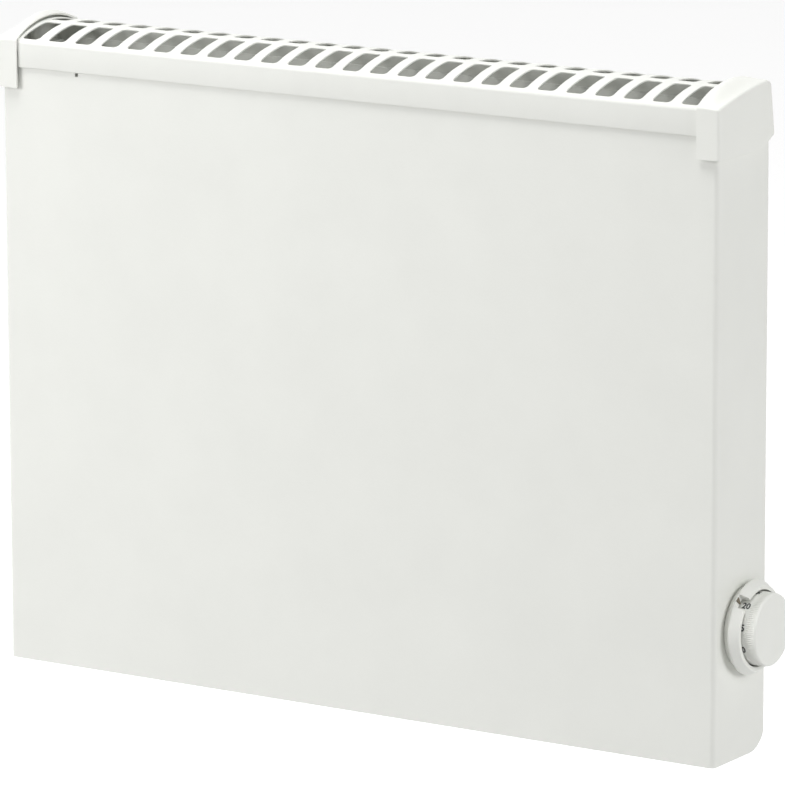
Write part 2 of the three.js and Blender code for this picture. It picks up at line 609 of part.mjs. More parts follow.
function topGrille() {
  const path = [[CASING_DEPTH, GRILLE_REAR_BOTTOM],
    ...archPoints(ARCH_RADIUS, CASING_DEPTH, GRILLE_LIP_Y, ARCH_STEPS),
    [GRILLE_LIP_Y, LIP_BOTTOM]];
  const strip = extrude('x', sheetSection(path, SHEET, GRILLE_BEND, 23),
    -GRILLE_HALF, GRILLE_HALF);
  // the front lip stops short of the caps, whose own lips take its place
  const ends = [-1, 1].map((side) => {
    const x = [side * (CAP_INNER_X - FIT), side * (GRILLE_HALF + CUT)].sort((a, b) => a - b);
    return box(x, [GRILLE_LIP_Y - CUT, CASING_DEPTH / 2], [LIP_BOTTOM - CUT, CASING_HEIGHT]);
  });
  const screws = GRILLE_SCREW_X.map((x) => rearHole(x, grilleScrewZ(), CASING_DEPTH - SHEET));
  return geometryOf(cut(strip, ...ends, ...screws, ...grilleSlots()));
}

const grilleScrewZ = () => (GRILLE_REAR_BOTTOM + CASING_HEIGHT) / 2;

// One slanted, round-cornered slot, repeated along both rows of the arch.
function grilleSlots() {
  const [w, l, s] = [SLOT_WIDTH / 2, SLOT_LENGTH / 2, SLOT_SLANT / 2];
  const outline = roundLoop([[-w - s, -l], [w - s, -l], [w + s, l], [-w + s, l]],
    SLOT_CORNER, CORNER_STEP);
  const slots = [];
  for (const row of [0, 1]) {
    const angle = rad(FRONT_ROW_ANGLE + row * ROW_SPACING);
    for (let i = 0; i < SLOT_COUNT; i++) {
      const cutter = geometryOf(extrude('z', outline, -4 * SHEET, 4 * SHEET));
      cutter.translate(SLOT_FIRST + i * SLOT_PITCH, 0, ARCH_RADIUS);
      cutter.rotateX(-angle);
      cutter.translate(0, ...ARCH_CENTRE);
      slots.push(solid(cutter));
    }
  }
  return slots;
}

// ---------------------------------------------------------------- end caps
// Both cap sections run front bottom, front top, crown, rear top, rear tip, underside.
function capUnderside() {
  const tip = CAP_BOTTOM + CAP_UNDERSIDE.at(-1)[1];
  return [[CAP_REAR, tip], ...CAP_UNDERSIDE.map(([y, z]) => [CAP_REAR - y, tip - z])];
}

// Where the cap meets the grille it follows the grille's arch.
function archSection() {
  const crown = archPoints(CAP_ARCH, CAP_FRONT, CAP_REAR - CAP_CROWN_BACK, CAP_STEPS);
  return [[CAP_FRONT, CAP_BOTTOM], ...crown, [CAP_REAR, archZ(CAP_ARCH, CAP_REAR)],
    ...capUnderside()];
}

// At the outer side the crown starts flatter and ends in a tighter corner.
function sideSection() {
  const crownEnd = CAP_REAR - CAP_CROWN_BACK;
  const top = archZ(CAP_ARCH, CAP_FRONT) + CAP_CROWN_RISE;
  const crown = Array.from({ length: CAP_STEPS + 1 }, (_, i) => {
    const left = 1 - i / CAP_STEPS;
    return [THREE.MathUtils.lerp(crownEnd, CAP_FRONT, left),
      top - CAP_CROWN_RISE * left ** CAP_CROWN_POWER];
  });
  const rearTop = [CAP_REAR - CAP_REAR_LEAN, top - CAP_CROWN_FALL];
  return [[CAP_FRONT, CAP_BOTTOM], ...crown, rearTop, ...capUnderside()];
}

function endCap() {
  const arch = archSection();
  const side = sideSection();
  const flat = GRILLE_HALF + 2 * FIT; // the arch section covers the tucked grille
  const r = CAP_EDGE_RADIUS;
  const outer = loft([
    { x: CAP_INNER_X, loop: arch },
    { x: flat, loop: arch },
    ...[0, 45, 90].map((a) => ({
      x: CAP_OUTER_X - r + r * Math.sin(rad(a)),
      loop: insetLoop(side, -r * (1 - Math.cos(rad(a)))),
    })),
  ]);
  const cavity = loft([
    { x: CAP_INNER_X - CUT, loop: openBelow(arch, CAP_WALL) },
    { x: flat, loop: openBelow(arch, CAP_WALL) },
    { x: CAP_OUTER_X - r, loop: openBelow(side, CAP_WALL) },
    { x: CAP_OUTER_X - CAP_WALL, loop: openBelow(side, CAP_WALL + r / 3) },
  ]);
  const column = extrude('z', circle(CAP_BOSS_RADIUS, CAP_BOSS_X, CAP_BOSS_Y, 16),
    CASING_HEIGHT + FIT, CASING_HEIGHT + CASING_DEPTH);
  const bore = extrude('z', circle(SCREW_HOLE, CAP_BOSS_X, CAP_BOSS_Y, HOLE_FACETS),
    CASING_HEIGHT, CASING_HEIGHT + CAP_BORE_DEPTH);
  return cut(joined(outer.subtract(cavity), outer.intersect(column)), bore);
}

// The cavity's outline: moved inwards, and carried down past the cap's lower edge.
function openBelow(loop, inset) {
  const moved = insetLoop(loop, -inset);
  const under = moved.length - CAP_UNDERSIDE.length - 1;
  return moved.map(([y, z], i) => (i === 0 || i >= under ? [y, z - CAP_OPEN_DROP] : [y, z]));
}

// ---------------------------------------------------------------- thermostat
const onKnobAxis = (x) => [x, ...KNOB_AXIS];

function thermostatBezel() {
  const floor = FIT + COLLAR_FLOOR;
  const rim = COLLAR_REACH;
  const hole = NUT_RADIUS + COLLAR_NUT_GAP;
  const profile = [
    [FIT, hole], [FIT, COLLAR_RADIUS - COLLAR_FOOT],
    ...COLLAR_FLARE.map(([x, short]) => [x, COLLAR_RADIUS - short]),
    ...COLLAR_TAPER.map(([x, short]) => [rim - x, COLLAR_RADIUS - short]),
    [rim, COLLAR_BORE], [floor, COLLAR_BORE], [floor, hole],
  ];
  const ring = turned('x', profile, onKnobAxis(HALF), 36);
  const [y, z] = KNOB_AXIS;
  const window = geometryOf(box([HALF + rim - WINDOW_DEPTH, HALF + rim + CUT],
    [-COLLAR_RADIUS - CUT, -COLLAR_BORE + CUT], [-WINDOW_WIDTH / 2, WINDOW_WIDTH / 2]));
  window.rotateX(-rad(WINDOW_ANGLE)).translate(0, y, z);
  const holes = [-1, 1].map((s) => extrude('x',
    circle(SCREW_HOLE, y, z + s * BEZEL_SCREW_OFFSET, HOLE_FACETS), HALF, HALF + floor + CUT));
  return geometryOf(cut(ring, solid(window), ...holes));
}

// A circle with a flat on its upper side, for the spindle and the hub's bore.
function dOutline(radius, flat) {
  const start = Math.asin(flat / radius);
  return Array.from({ length: 19 }, (_, i) => {
    const a = start - ((Math.PI + 2 * start) * i) / 18;
    return [KNOB_AXIS[0] + radius * Math.cos(a), KNOB_AXIS[1] + radius * Math.sin(a)];
  });
}

function thermostatKnob() {
  const [y, z] = KNOB_AXIS;
  const edge = KNOB_REACH - KNOB_EDGE;
  const arc = [0, 30, 60, 90].map((a) => [
    edge + KNOB_EDGE * Math.sin(rad(a)),
    KNOB_RADIUS - KNOB_EDGE * (1 - Math.cos(rad(a))),
  ]);
  const dome = turned('x', [[KNOB_FOOT_GAP, 0], [KNOB_FOOT_GAP, KNOB_RADIUS], ...arc,
    [KNOB_REACH, 0]], onKnobAxis(HALF), 36);
  const ribbed = Array.from({ length: 2 * KNOB_RIBS }, (_, i) => {
    const a = (Math.PI * i) / KNOB_RIBS;
    const r = i % 2 ? KNOB_RADIUS - RIB_DEPTH : KNOB_RADIUS + 0.1;
    return [y + r * Math.cos(a), z + r * Math.sin(a)];
  });
  const skirt = circle(KNOB_RADIUS - 0.2, y, z, 36);
  const grip = extrude('x', ribbed, HALF + KNOB_FLANGE_END, HALF + KNOB_REACH + CUT)
    .add(extrude('x', skirt, HALF, HALF + KNOB_FLANGE_END + 0.1));
  const inner = [HALF + KNOB_FOOT_GAP - CUT, HALF + KNOB_REACH - KNOB_WALL];
  const hollow = extrude('x', circle(KNOB_RADIUS - KNOB_WALL, y, z, 24), ...inner)
    .subtract(extrude('x', circle(HUB_RADIUS, y, z, 16), HALF + HUB_START, inner[1] + CUT));
  const bore = extrude('x', dOutline(SPINDLE_RADIUS + FIT, SPINDLE_FLAT + FIT),
    inner[0], inner[1] + 0.2);
  return geometryOf(cut(dome.intersect(grip), hollow, bore));
}

function thermostatSpindle() {
  const inner = HALF - SHEET - STAT_BORE_DEPTH + FIT;
  const round = extrude('x', circle(SPINDLE_RADIUS, ...KNOB_AXIS, 18), inner,
    HALF + HUB_START - 0.5);
  const flat = extrude('x', dOutline(SPINDLE_RADIUS, SPINDLE_FLAT),
    HALF + HUB_START - 0.6, HALF + KNOB_REACH - KNOB_WALL - FIT);
  return geometryOf(round.add(flat));
}

function thermostatBody() {
  const [y, z] = KNOB_AXIS;
  const [length, depth, height] = STAT_BODY;
  const face = HALF - SHEET - FIT;
  const outline = roundLoop(rect(y - depth / 2, z - height / 2, y + depth / 2, z + height / 2),
    STAT_CORNER);
  const block = extrude('x', outline, face - length, face);
  const bush = extrude('x', circle(BUSH_RADIUS, y, z, 20), face - 1, HALF + BUSH_REACH);
  const bore = extrude('x', circle(SPINDLE_RADIUS + FIT, y, z, 20),
    HALF - SHEET - STAT_BORE_DEPTH, HALF + BUSH_REACH + CUT);
  const seats = bladePlaces().map(([by, bz]) => bladeBox(by, bz, FIT, CUT));
  return geometryOf(cut(joined(block, bush), bore, ...seats));
}

const bladePlaces = () => [-1, 1].map((s) =>
  [KNOB_AXIS[0] + BLADE_SHIFT, KNOB_AXIS[1] + (s * BLADE_SPACING) / 2]);

function bladeBox(y, z, grow, past = 0) {
  const back = HALF - SHEET - FIT - STAT_BODY[0];
  const [length, width, thick] = BLADE;
  return box([back + BLADE_SEAT - length - past, back + BLADE_SEAT + grow],
    [y - width / 2 - grow, y + width / 2 + grow], [z - thick / 2 - grow, z + thick / 2 + grow]);
}

function thermostatNut() {
  const [y, z] = KNOB_AXIS;
  const from = HALF + FIT;
  return geometryOf(extrude('x', circle(NUT_RADIUS, y, z, 6), from, from + NUT_HEIGHT,
    [circle(BUSH_RADIUS + FIT, y, z, 20)]));
}

// ---------------------------------------------------------------- duct and element
// Inner heat shield: it makes a chimney round the element with the back panel.
function airDuct() {
  const foot = BACK_INNER - FIT - THIN_SHEET;
  const path = [[DUCT_LEFT - DUCT_FOOT, foot], [DUCT_LEFT, foot], [DUCT_LEFT, DUCT_FRONT],
    [DUCT_RIGHT, DUCT_FRONT], [DUCT_RIGHT, foot], [DUCT_RIGHT + DUCT_FOOT, foot]];
  const shield = extrude('z', sheetSection(path, THIN_SHEET, DUCT_BEND), ...DUCT_Z);
  const [y, z] = ELEMENT_AXIS;
  const legs = [DUCT_LEFT, DUCT_RIGHT - THIN_SHEET].map((x) =>
    extrude('x', circle(INSULATOR_RADIUS + FIT, y, z, 20), x - CUT, x + THIN_SHEET + CUT));
  const leadHoles = LEAD_HOLES.map(([back, lz]) => extrude('x',
    circle(LEAD_HOLE_RADIUS, BACK_INNER - back, lz, 12),
    DUCT_RIGHT - THIN_SHEET - CUT, DUCT_RIGHT + CUT));
  const feet = ductScrewPlaces().map(([sx, sz]) =>
    extrude('y', circle(SCREW_HOLE, sx, sz, HOLE_FACETS), foot - CUT, foot + THIN_SHEET + CUT));
  const ears = rivetPlaces().map(([rx, rz]) => extrude('y', circle(SCREW_HOLE, rx, rz, HOLE_FACETS),
    DUCT_FRONT - CUT, DUCT_FRONT + THIN_SHEET + CUT));
  return geometryOf(cut(shield, ...legs, ...leadHoles, ...feet, ...ears));
}

const FIN_SPAN = [DUCT_LEFT + FIN_CLEARANCE, DUCT_RIGHT - FIN_CLEARANCE];
const SHEATH_SPAN = [DUCT_LEFT - ELEMENT_END_REACH, DUCT_RIGHT + ELEMENT_END_REACH];

// An extruded core with flat fins that are longest above and below it.
function elementFins() {
  const outline = [];
  for (let i = 0; i < FIN_COUNT; i++) {
    const a = (2 * Math.PI * (i + 0.5)) / FIN_COUNT;
    const upright = Math.abs(Math.sin(a)) ** 2;
    const tip = THREE.MathUtils.lerp(FIN_REACH[0], FIN_REACH[1], upright);
    const root = Math.sqrt(FIN_CORE ** 2 - (FIN_THICKNESS / 2) ** 2);
    for (const [along, across] of [[root, -1], [tip, -1], [tip, 1], [root, 1]]) {
      const [u, v] = [along, (across * FIN_THICKNESS) / 2];
      outline.push([ELEMENT_AXIS[0] + u * Math.cos(a) - v * Math.sin(a),
        ELEMENT_AXIS[1] + u * Math.sin(a) + v * Math.cos(a)]);
    }
  }
  const bore = circle(SHEATH_RADIUS + FIT, ...ELEMENT_AXIS, 16);
  return geometryOf(extrude('x', outline, ...FIN_SPAN, [bore]));
}

function elementSheath() {
  const bore = (from, to) => extrude('x', circle(PIN_RADIUS + FIT, ...ELEMENT_AXIS, 12), from, to);
  return geometryOf(cut(
    extrude('x', circle(SHEATH_RADIUS, ...ELEMENT_AXIS, 16), ...SHEATH_SPAN),
    bore(SHEATH_SPAN[0] - CUT, SHEATH_SPAN[0] + PIN_SEAT + FIT),
    bore(SHEATH_SPAN[1] - PIN_SEAT - FIT, SHEATH_SPAN[1] + CUT),
  ));
}

// Ceramic insulator through one wall of the duct, its collar outside.
function insulator(side) {
  const wall = side < 0 ? DUCT_LEFT : DUCT_RIGHT;
  const [inside, collar, nose] = INSULATOR_STEPS;
  const bore = SHEATH_RADIUS + FIT;
  const profile = [[-inside, bore], [-inside, INSULATOR_RADIUS], [FIT, INSULATOR_RADIUS],
    [FIT, INSULATOR_COLLAR], [collar, INSULATOR_COLLAR],
    [nose, SHEATH_RADIUS + INSULATOR_NOSE], [nose, bore]];
  const body = turned('x', profile.map(([a, r]) => [side * a, r]), [wall, ...ELEMENT_AXIS], 14);
  return geometryOf(body);
}

function elementPin(side) {
  const end = side < 0 ? SHEATH_SPAN[0] : SHEATH_SPAN[1];
  const reach = [end - side * PIN_SEAT, end + side * (PIN_LENGTH - PIN_SEAT)];
  reach.sort((a, b) => a - b);
  return geometryOf(extrude('x', circle(PIN_RADIUS, ...ELEMENT_AXIS, 10), ...reach));
}

const rivetPlaces = () => [-1, 1].map((s) =>
  [LIMITER_AT[0] + s * (LIMITER_EAR - RIVET_INSET), LIMITER_AT[1]]);

// Disc thermal limiter on the inner face of the duct's front.
function thermalLimiter() {
  const [x, z] = LIMITER_AT;
  const face = DUCT_FRONT + THIN_SHEET + FIT;
  const back = face + LIMITER_DEPTH;
  const [stepStart, stepEnd, small] = LIMITER_STEP;
  const disc = turned('y', [[face, 0], [face, LIMITER_RADIUS], [face + stepStart, LIMITER_RADIUS],
    [face + stepEnd, small], [back, small], [back, 0]], [x, 0, z], 14);
  const [earHalf, earThick] = EAR_SIZE;
  const ears = extrude('y', roundLoop(rect(x - LIMITER_EAR, z - earHalf, x + LIMITER_EAR,
    z + earHalf), RIVET_INSET), face, face + earThick);
  const [tabHalf, tabLength, tabTall] = TAB_SIZE;
  const tabs = [x - TAB_OFFSET, x + TAB_OFFSET].map((tx) => box([tx - tabHalf, tx + tabHalf],
    [back - earThick, back + tabLength], [z - tabTall, z + tabTall]));
  const holes = rivetPlaces().map(([rx, rz]) =>
    extrude('y', circle(SCREW_HOLE, rx, rz, HOLE_FACETS), face - CUT, face + CUT));
  return geometryOf(cut(joined(disc, ears, ...tabs), ...holes));
}

// A rivet through the duct's front and one ear, with a domed head on each side.
function rivet(x, z) {
  const [front, back] = [DUCT_FRONT - FIT, DUCT_FRONT + THIN_SHEET + EAR_SIZE[1] + 2 * FIT];
  const [wide, narrow, top] = RIVET_HEADS;
  const [before, behind] = [front - RIVET_HEIGHTS[0], back + RIVET_HEIGHTS[1]];
  const profile = [[before, 0], [before, top], [front, wide], [front, SCREW_RADIUS],
    [back, SCREW_RADIUS], [back, narrow], [behind, top], [behind, 0]];
  return geometryOf(turned('y', profile, [x, 0, z], 12));
}

// ---------------------------------------------------------------- wiring
const wayX = (i) => BLOCK_AT[0] + (i - (BLOCK_WAYS - 1) / 2) * BLOCK_PITCH;
const blockBack = BACK_INNER - FIT;
const blockScrewPlace = () => [wayX(0) + BLOCK_PITCH / 2, BLOCK_AT[1]];

// Terminal block on the inside of the back panel: a wire hole up through each way.
function terminalBlock() {
  const [width, depth, height] = BLOCK_SIZE;
  const [x, z] = BLOCK_AT;
  const low = z - height / 2;
  const high = z + height / 2;
  const middle = blockBack - depth / 2;
  const base = box([x - width / 2, x + width / 2], [middle, blockBack], [low, high]);
  const [half, corner] = BLOCK_TOWER;
  const ways = Array.from({ length: BLOCK_WAYS }, (_, i) => wayX(i));
  const towers = ways.map((wx) => extrude('z',
    roundLoop(rect(wx - half, blockBack - depth, wx + half, blockBack - FIT), corner, CORNER_STEP),
    low, high));
  const holes = ways.flatMap((wx) => [
    extrude('z', circle(BLOCK_WIRE_RADIUS, wx, middle, 8), low - CUT, high + CUT),
    extrude('y', circle(SCREW_HOLE, wx, z, HOLE_FACETS), blockBack - depth - CUT, middle),
  ]);
  const fixing = extrude('y', circle(SCREW_HOLE, ...blockScrewPlace(), HOLE_FACETS),
    blockBack - BLOCK_SCREW_DEPTH, blockBack + CUT);
  return geometryOf(cut(joined(base, ...towers), fixing, ...holes));
}

function cableGrommet() {
  const [x, z] = GROMMET_AT;
  const flange = GROMMET_RADIUS + GROMMET_LIP;
  const neck = GROMMET_RADIUS - FIT;
  const front = BACK_INNER - GROMMET_LIP - SHEET;
  const nose = BACK_Y + GROMMET_NOSE[0];
  const profile = [[front, GROMMET_BORE], [front, flange - SHEET], [BACK_INNER - FIT, flange],
    [BACK_INNER - FIT, neck], [BACK_Y + FIT, neck], [BACK_Y + FIT, flange],
    [nose - SHEET, GROMMET_RADIUS], [nose, GROMMET_NOSE[1]], [nose, GROMMET_BORE]];
  return geometryOf(turned('y', profile, [x, 0, z], 14));
}

// A lead along hand-placed points [x, y, z].
function lead(points) {
  const curve = new THREE.CatmullRomCurve3(points.map((p) => new THREE.Vector3(...p)),
    false, 'centripetal');
  const section = new THREE.Shape(circle(LEAD_RADIUS, 0, 0, LEAD_SIDES).map(([u, v]) =>
    new THREE.Vector2(u, v)));
  const steps =
    THREE.MathUtils.clamp(Math.round(curve.getLength() / (5 * LEAD_RADIUS)), 8, 60);
  return geometryOf(solid(new THREE.ExtrudeGeometry(section, { steps, extrudePath: curve })));
}

// Routes of the internal leads, inside the casing all the way.
const routed = (points) => points.map(([inset, back, z]) =>
  [inset > 0 ? HALF - inset : -HALF - inset, BACK_INNER - back, z]);
const wireHole = (i) =>
  [wayX(i), blockBack - BLOCK_SIZE[1] / 2, BLOCK_AT[1] + WIRE_SEAT];
const bladeTip = (i) => {
  const [y, z] = bladePlaces()[i];
  return [HALF - SHEET - FIT - STAT_BODY[0] + BLADE_SEAT - BLADE[0] - LEAD_END_GAP, y, z];
};
const limiterTab = (side) => [LIMITER_AT[0] + side * TAB_OFFSET,
  DUCT_FRONT + THIN_SHEET + FIT + LIMITER_DEPTH + TAB_SIZE[1] + LEAD_END_GAP, LIMITER_AT[1]];
const pinTip = (side) => [
  (side < 0 ? SHEATH_SPAN[0] : SHEATH_SPAN[1]) + side * (PIN_LENGTH - PIN_SEAT + LEAD_END_GAP),
  ...ELEMENT_AXIS];
const holeIn = (i) => [DUCT_RIGHT, BACK_INNER - LEAD_HOLES[i][0], LEAD_HOLES[i][1]];

// A lead's end and the point before it, so that it meets its terminal squarely.
function ending([x, y, z], [dx, dy, dz]) {
  return [[x + dx, y + dy, z + dz], [x, y, z]];
}

const starting = (point, step) => ending(point, step).reverse();

const leadRoutes = () => ({
  lead_live: [...starting(wireHole(2), [0, 0, 7]), ...routed(LIVE_POINTS),
    ...ending(bladeTip(0), [-2.6, 0, -0.4])],
  lead_neutral: [...starting(wireHole(1), [0, 0, 7]), ...routed(NEUTRAL_POINTS),
    ...ending(pinTip(-1), [-4, 0, -1])],
  lead_earth: [...starting(wireHole(0), [0, 0, 6]), ...routed(EARTH_POINTS),
    [EARTH_AT[0] + SCREW_RADIUS + LEAD_END_GAP, BACK_INNER - EARTH_END, EARTH_AT[1]]],
  lead_switched: [...starting(bladeTip(1), [-2.4, 0, 0.4]), ...routed(SWITCHED_POINTS),
    holeIn(0), ...routed(SWITCHED_INNER), ...ending(limiterTab(1), [1, 7, 0])],
  lead_element: [...starting(limiterTab(-1), [0, 7, 0.5]), ...routed(ELEMENT_INNER), holeIn(1),
    ...routed(ELEMENT_POINTS), ...ending(pinTip(1), [5, 1, 1.5])],
});

// ---------------------------------------------------------------- wall bracket
const WALL_FACE = WALL_Y;
const PLATE_FRONT = WALL_Y - BRACKET_SHEET;

function wallBracket() {
  const [left, right] = [-BRACKET_WIDTH / 2, BRACKET_WIDTH / 2];
  const top = BRACKET_BOTTOM + BRACKET_HEIGHT;
  const outline = roundLoop(rect(left, BRACKET_BOTTOM, right, top), BRACKET_CORNER);
  const frame = extrude('y', outline, PLATE_FRONT, WALL_FACE,
    [...bracketWindows(), ...wallHoles()]);
  const half = ARM_WIDTH / 2;
  const arms = [-ARM_X, ARM_X].flatMap((x) => [
    extrude('x', sheetSection(hookPath(), BRACKET_SHEET, BRACKET_BEND, 45), x - half, x + half),
    extrude('x', sheetSection(catchPath(), BRACKET_SHEET, BRACKET_BEND, 45), x - half, x + half),
  ]);
  return geometryOf(joined(frame, ...arms));
}

// Two windows between the bottom, middle and top bars.
function bracketWindows() {
  const half = BRACKET_WIDTH / 2 - UPRIGHT_WIDTH;
  const pitch = (BRACKET_HEIGHT - BAR_HEIGHT) / 2;
  return [0, 1].map((i) => {
    const low = BRACKET_BOTTOM + BAR_HEIGHT + i * pitch;
    return roundLoop(rect(-half, low, half, low + pitch - BAR_HEIGHT), BRACKET_CORNER);
  });
}

// Slotted wall holes, two in each upright.
function wallHoles() {
  const x = (BRACKET_WIDTH - UPRIGHT_WIDTH) / 2;
  const half = [WALL_SLOT_LENGTH / 2, WALL_HOLE_RADIUS];
  return [-x, x].flatMap((cx) => [-1, 1].map((s) => {
    const cz = BRACKET_CENTRE_Z + s * (BRACKET_HEIGHT / 4);
    const slot = rect(cx - half[0], cz - half[1], cx + half[0], cz + half[1]);
    return roundLoop(slot, WALL_HOLE_RADIUS - 0.1, CORNER_STEP);
  }));
}

// Lower arm: down the wall, forward through the back panel and up behind it.
const hookPath = () => {
  const under = HOOK_Z - BRACKET_SHEET;
  const front = WALL_FACE - HOOK_REACH;
  return [[front, HOOK_Z + HOOK_TIP], [front, under], [WALL_FACE, under],
    [WALL_FACE, BRACKET_BOTTOM + HOOK_ROOT]];
};

// Upper arm: a shelf for the catch's spring and the plate that guides the catch.
const catchPath = () => [[WALL_FACE, CATCH_SHELF_Z - CATCH_ROOT], [WALL_FACE, CATCH_SHELF_Z],
  [CATCH_PLATE_Y, CATCH_SHELF_Z], [CATCH_PLATE_Y, CATCH_PLATE_TOP]];

// The catch slides on the guide plate; its tooth stands up behind the back panel.
function catchPiece(x) {
  const half = CATCH_WIDTH / 2;
  const [low, high] = CATCH_Z;
  const front = CASING_DEPTH;
  const [padThick, padDepth] = CATCH_PAD;
  const [blockCorner, padCorner] = CATCH_CORNERS;
  const block = extrude('z',
    roundLoop(rect(x - half, front, x + half, front + CATCH_DEPTH), blockCorner), low, high);
  const pad = extrude('z', roundLoop(rect(x - half, front, x + half, front + padDepth), padCorner),
    high - PAD_LAP, high + padThick);
  const nose = BACK_INNER - NOSE_GAP;
  const [tip, root] = TOOTH_STEPS;
  const toothTop = BEAK_TOP + TOOTH_HEIGHT;
  const beak = extrude('x', [[front + SHEET, BEAK_Z], [front + SHEET, BEAK_TOP], [nose, BEAK_TOP],
    [nose, toothTop], [nose - tip, toothTop], [nose - root, BEAK_TOP], [nose - root, BEAK_Z]],
  x - TOOTH_WIDTH / 2, x + TOOTH_WIDTH / 2);
  const gap = CATCH_GAP;
  const plate = [CATCH_PLATE_Y - BRACKET_SHEET - gap, CATCH_PLATE_Y + gap];
  const guideTop = CATCH_PLATE_TOP + CATCH_TRAVEL + gap; // clears the plate at full travel
  const guide = box([x - ARM_WIDTH / 2 - gap, x + ARM_WIDTH / 2 + gap], plate,
    [low - CUT, guideTop]);
  return geometryOf(cut(joined(block, pad, beak), guide));
}

// Compression spring between the shelf and the catch.
const springLow = CATCH_FLOOR + SPRING_WIRE;
const springHigh = CATCH_Z[0] - FIT - SPRING_WIRE;

class Coil extends THREE.Curve {
  constructor(radius, low, high, turns) {
    super();
    Object.assign(this, { radius, low, high, turns });
  }

  getPoint(t, target = new THREE.Vector3()) {
    const a = 2 * Math.PI * this.turns * t;
    return target.set(this.radius * Math.cos(a), this.radius * Math.sin(a),
      THREE.MathUtils.lerp(this.low, this.high, t));
  }
}

// An unbroken tube round the coil's centre line.
function catchSpring(x) {
  const coil = new Coil(SPRING_RADIUS, springLow, springHigh, SPRING_TURNS);
  const y = CATCH_PLATE_Y + SPRING_RADIUS + SPRING_BEHIND;
  const sides = SPRING_SIDES;
  const steps = SPRING_STEPS * SPRING_TURNS;
  const points = [];
  for (let i = 0; i <= steps; i++) {
    const centre = coil.getPoint(i / steps);
    const a = (2 * Math.PI * SPRING_TURNS * i) / steps;
    for (let j = 0; j < sides; j++) {
      const b = (2 * Math.PI * j) / sides;
      const out = SPRING_WIRE * Math.cos(b);
      points.push([x + centre.x + out * Math.cos(a), y + centre.y + out * Math.sin(a),
        centre.z + SPRING_WIRE * Math.sin(b)]);
    }
  }
  const gap = leastGap(points, (SPRING_STEPS * sides) / 2);
  console.log(`spring at x ${x}: least gap to itself ${gap.toFixed(2)} mm,`
    + ` ${gap > SPRING_LEAST_GAP ? 'enough' : 'too little'}`);
  return geometryOf(solid(tubeSkin(points, sides)));
}

// Least distance between points of a tube that lie at least so many places apart.
function leastGap(points, apart) {
  let least = Infinity;
  for (let i = 0; i < points.length; i++) {
    for (let j = i + apart; j < points.length; j++) {
      const [p, q] = [points[i], points[j]];
      least = Math.min(least, Math.hypot(p[0] - q[0], p[1] - q[1], p[2] - q[2]));
    }
  }
  return least;
}

// Skin over rings of equal counts of points, closed at both ends.
function tubeSkin(points, sides) {
  const rings = points.length / sides;
  const index = [];
  for (let i = 0; i + 1 < rings; i++) {
    for (let j = 0; j < sides; j++) {
      const a = i * sides + j;
      const b = i * sides + ((j + 1) % sides);
      index.push(a, b, a + sides, b, b + sides, a + sides);
    }
  }
  const end = (rings - 1) * sides;
  for (let j = 1; j + 1 < sides; j++) index.push(0, j + 1, j, end, end + j, end + j + 1);
  const geometry = new THREE.BufferGeometry();
  geometry.setAttribute('position', new THREE.Float32BufferAttribute(points.flat(), 3));
  geometry.setIndex(index);
  return geometry;
}

// ---------------------------------------------------------------- finishes
const finish = (color, roughness, metalness) => ({ color, roughness, metalness });
const POWDER_WHITE = finish(0xe9eae5, 0.45, 0);
const MOULDED_WHITE = finish(0xe4e5e0, 0.5, 0);
const GALVANISED = finish(0xb9bcbc, 0.4, 0.9);
const ALUMINIUM = finish(0xc4c6c8, 0.35, 0.9);
const STEEL = finish(0x9fa2a4, 0.35, 0.9);
const BRASS = finish(0xc8a558, 0.35, 0.9);
const CERAMIC = finish(0xe8e2d4, 0.6, 0);
const BAKELITE = finish(0x2f2c2a, 0.5, 0);
const GREY_RUBBER = finish(0x55585a, 0.8, 0);
const LEAD_SLEEVE = finish(0xd9d3c3, 0.6, 0);
const EARTH_SLEEVE = finish(0x7fa03c, 0.6, 0);

// ---------------------------------------------------------------- assembly
const heater = new THREE.Group();
heater.position.set(0, -WALL_Y, -BRACKET_CENTRE_Z);

function put(name, geometry, look) {
  const mesh = new THREE.Mesh(geometry, new THREE.MeshStandardMaterial(look));
  mesh.name = name;
  heater.add(mesh);
}

put('casing', casing(), POWDER_WHITE);
put('back_panel', backPanel(), POWDER_WHITE);
put('top_grille', topGrille(), POWDER_WHITE);
const cap = endCap();
put('end_cap_right', geometryOf(cap), MOULDED_WHITE);
put('end_cap_left', geometryOf(mirrored(cap)), MOULDED_WHITE);

put('thermostat_bezel', thermostatBezel(), MOULDED_WHITE);
put('thermostat_knob', thermostatKnob(), MOULDED_WHITE);
put('thermostat_spindle', thermostatSpindle(), STEEL);
put('thermostat_body', thermostatBody(), BAKELITE);
put('thermostat_nut', thermostatNut(), BRASS);
bladePlaces().forEach(([y, z], i) =>
  put(`thermostat_terminal_${i + 1}`, geometryOf(bladeBox(y, z, 0)), BRASS));

put('air_duct', airDuct(), GALVANISED);
put('element_fins', elementFins(), ALUMINIUM);
put('element_sheath', elementSheath(), STEEL);
for (const [side, label] of [[-1, 'left'], [1, 'right']]) {
  put(`element_insulator_${label}`, insulator(side), CERAMIC);
  put(`element_pin_${label}`, elementPin(side), STEEL);
}
put('thermal_limiter', thermalLimiter(), CERAMIC);
rivetPlaces().forEach(([x, z], i) => put(`limiter_rivet_${i + 1}`, rivet(x, z), ALUMINIUM));

put('terminal_block', terminalBlock(), CERAMIC);
put('cable_grommet', cableGrommet(), GREY_RUBBER);

Object.entries(leadRoutes()).forEach(([name, points]) =>
  put(name, lead(points), name === 'lead_earth' ? EARTH_SLEEVE : LEAD_SLEEVE));

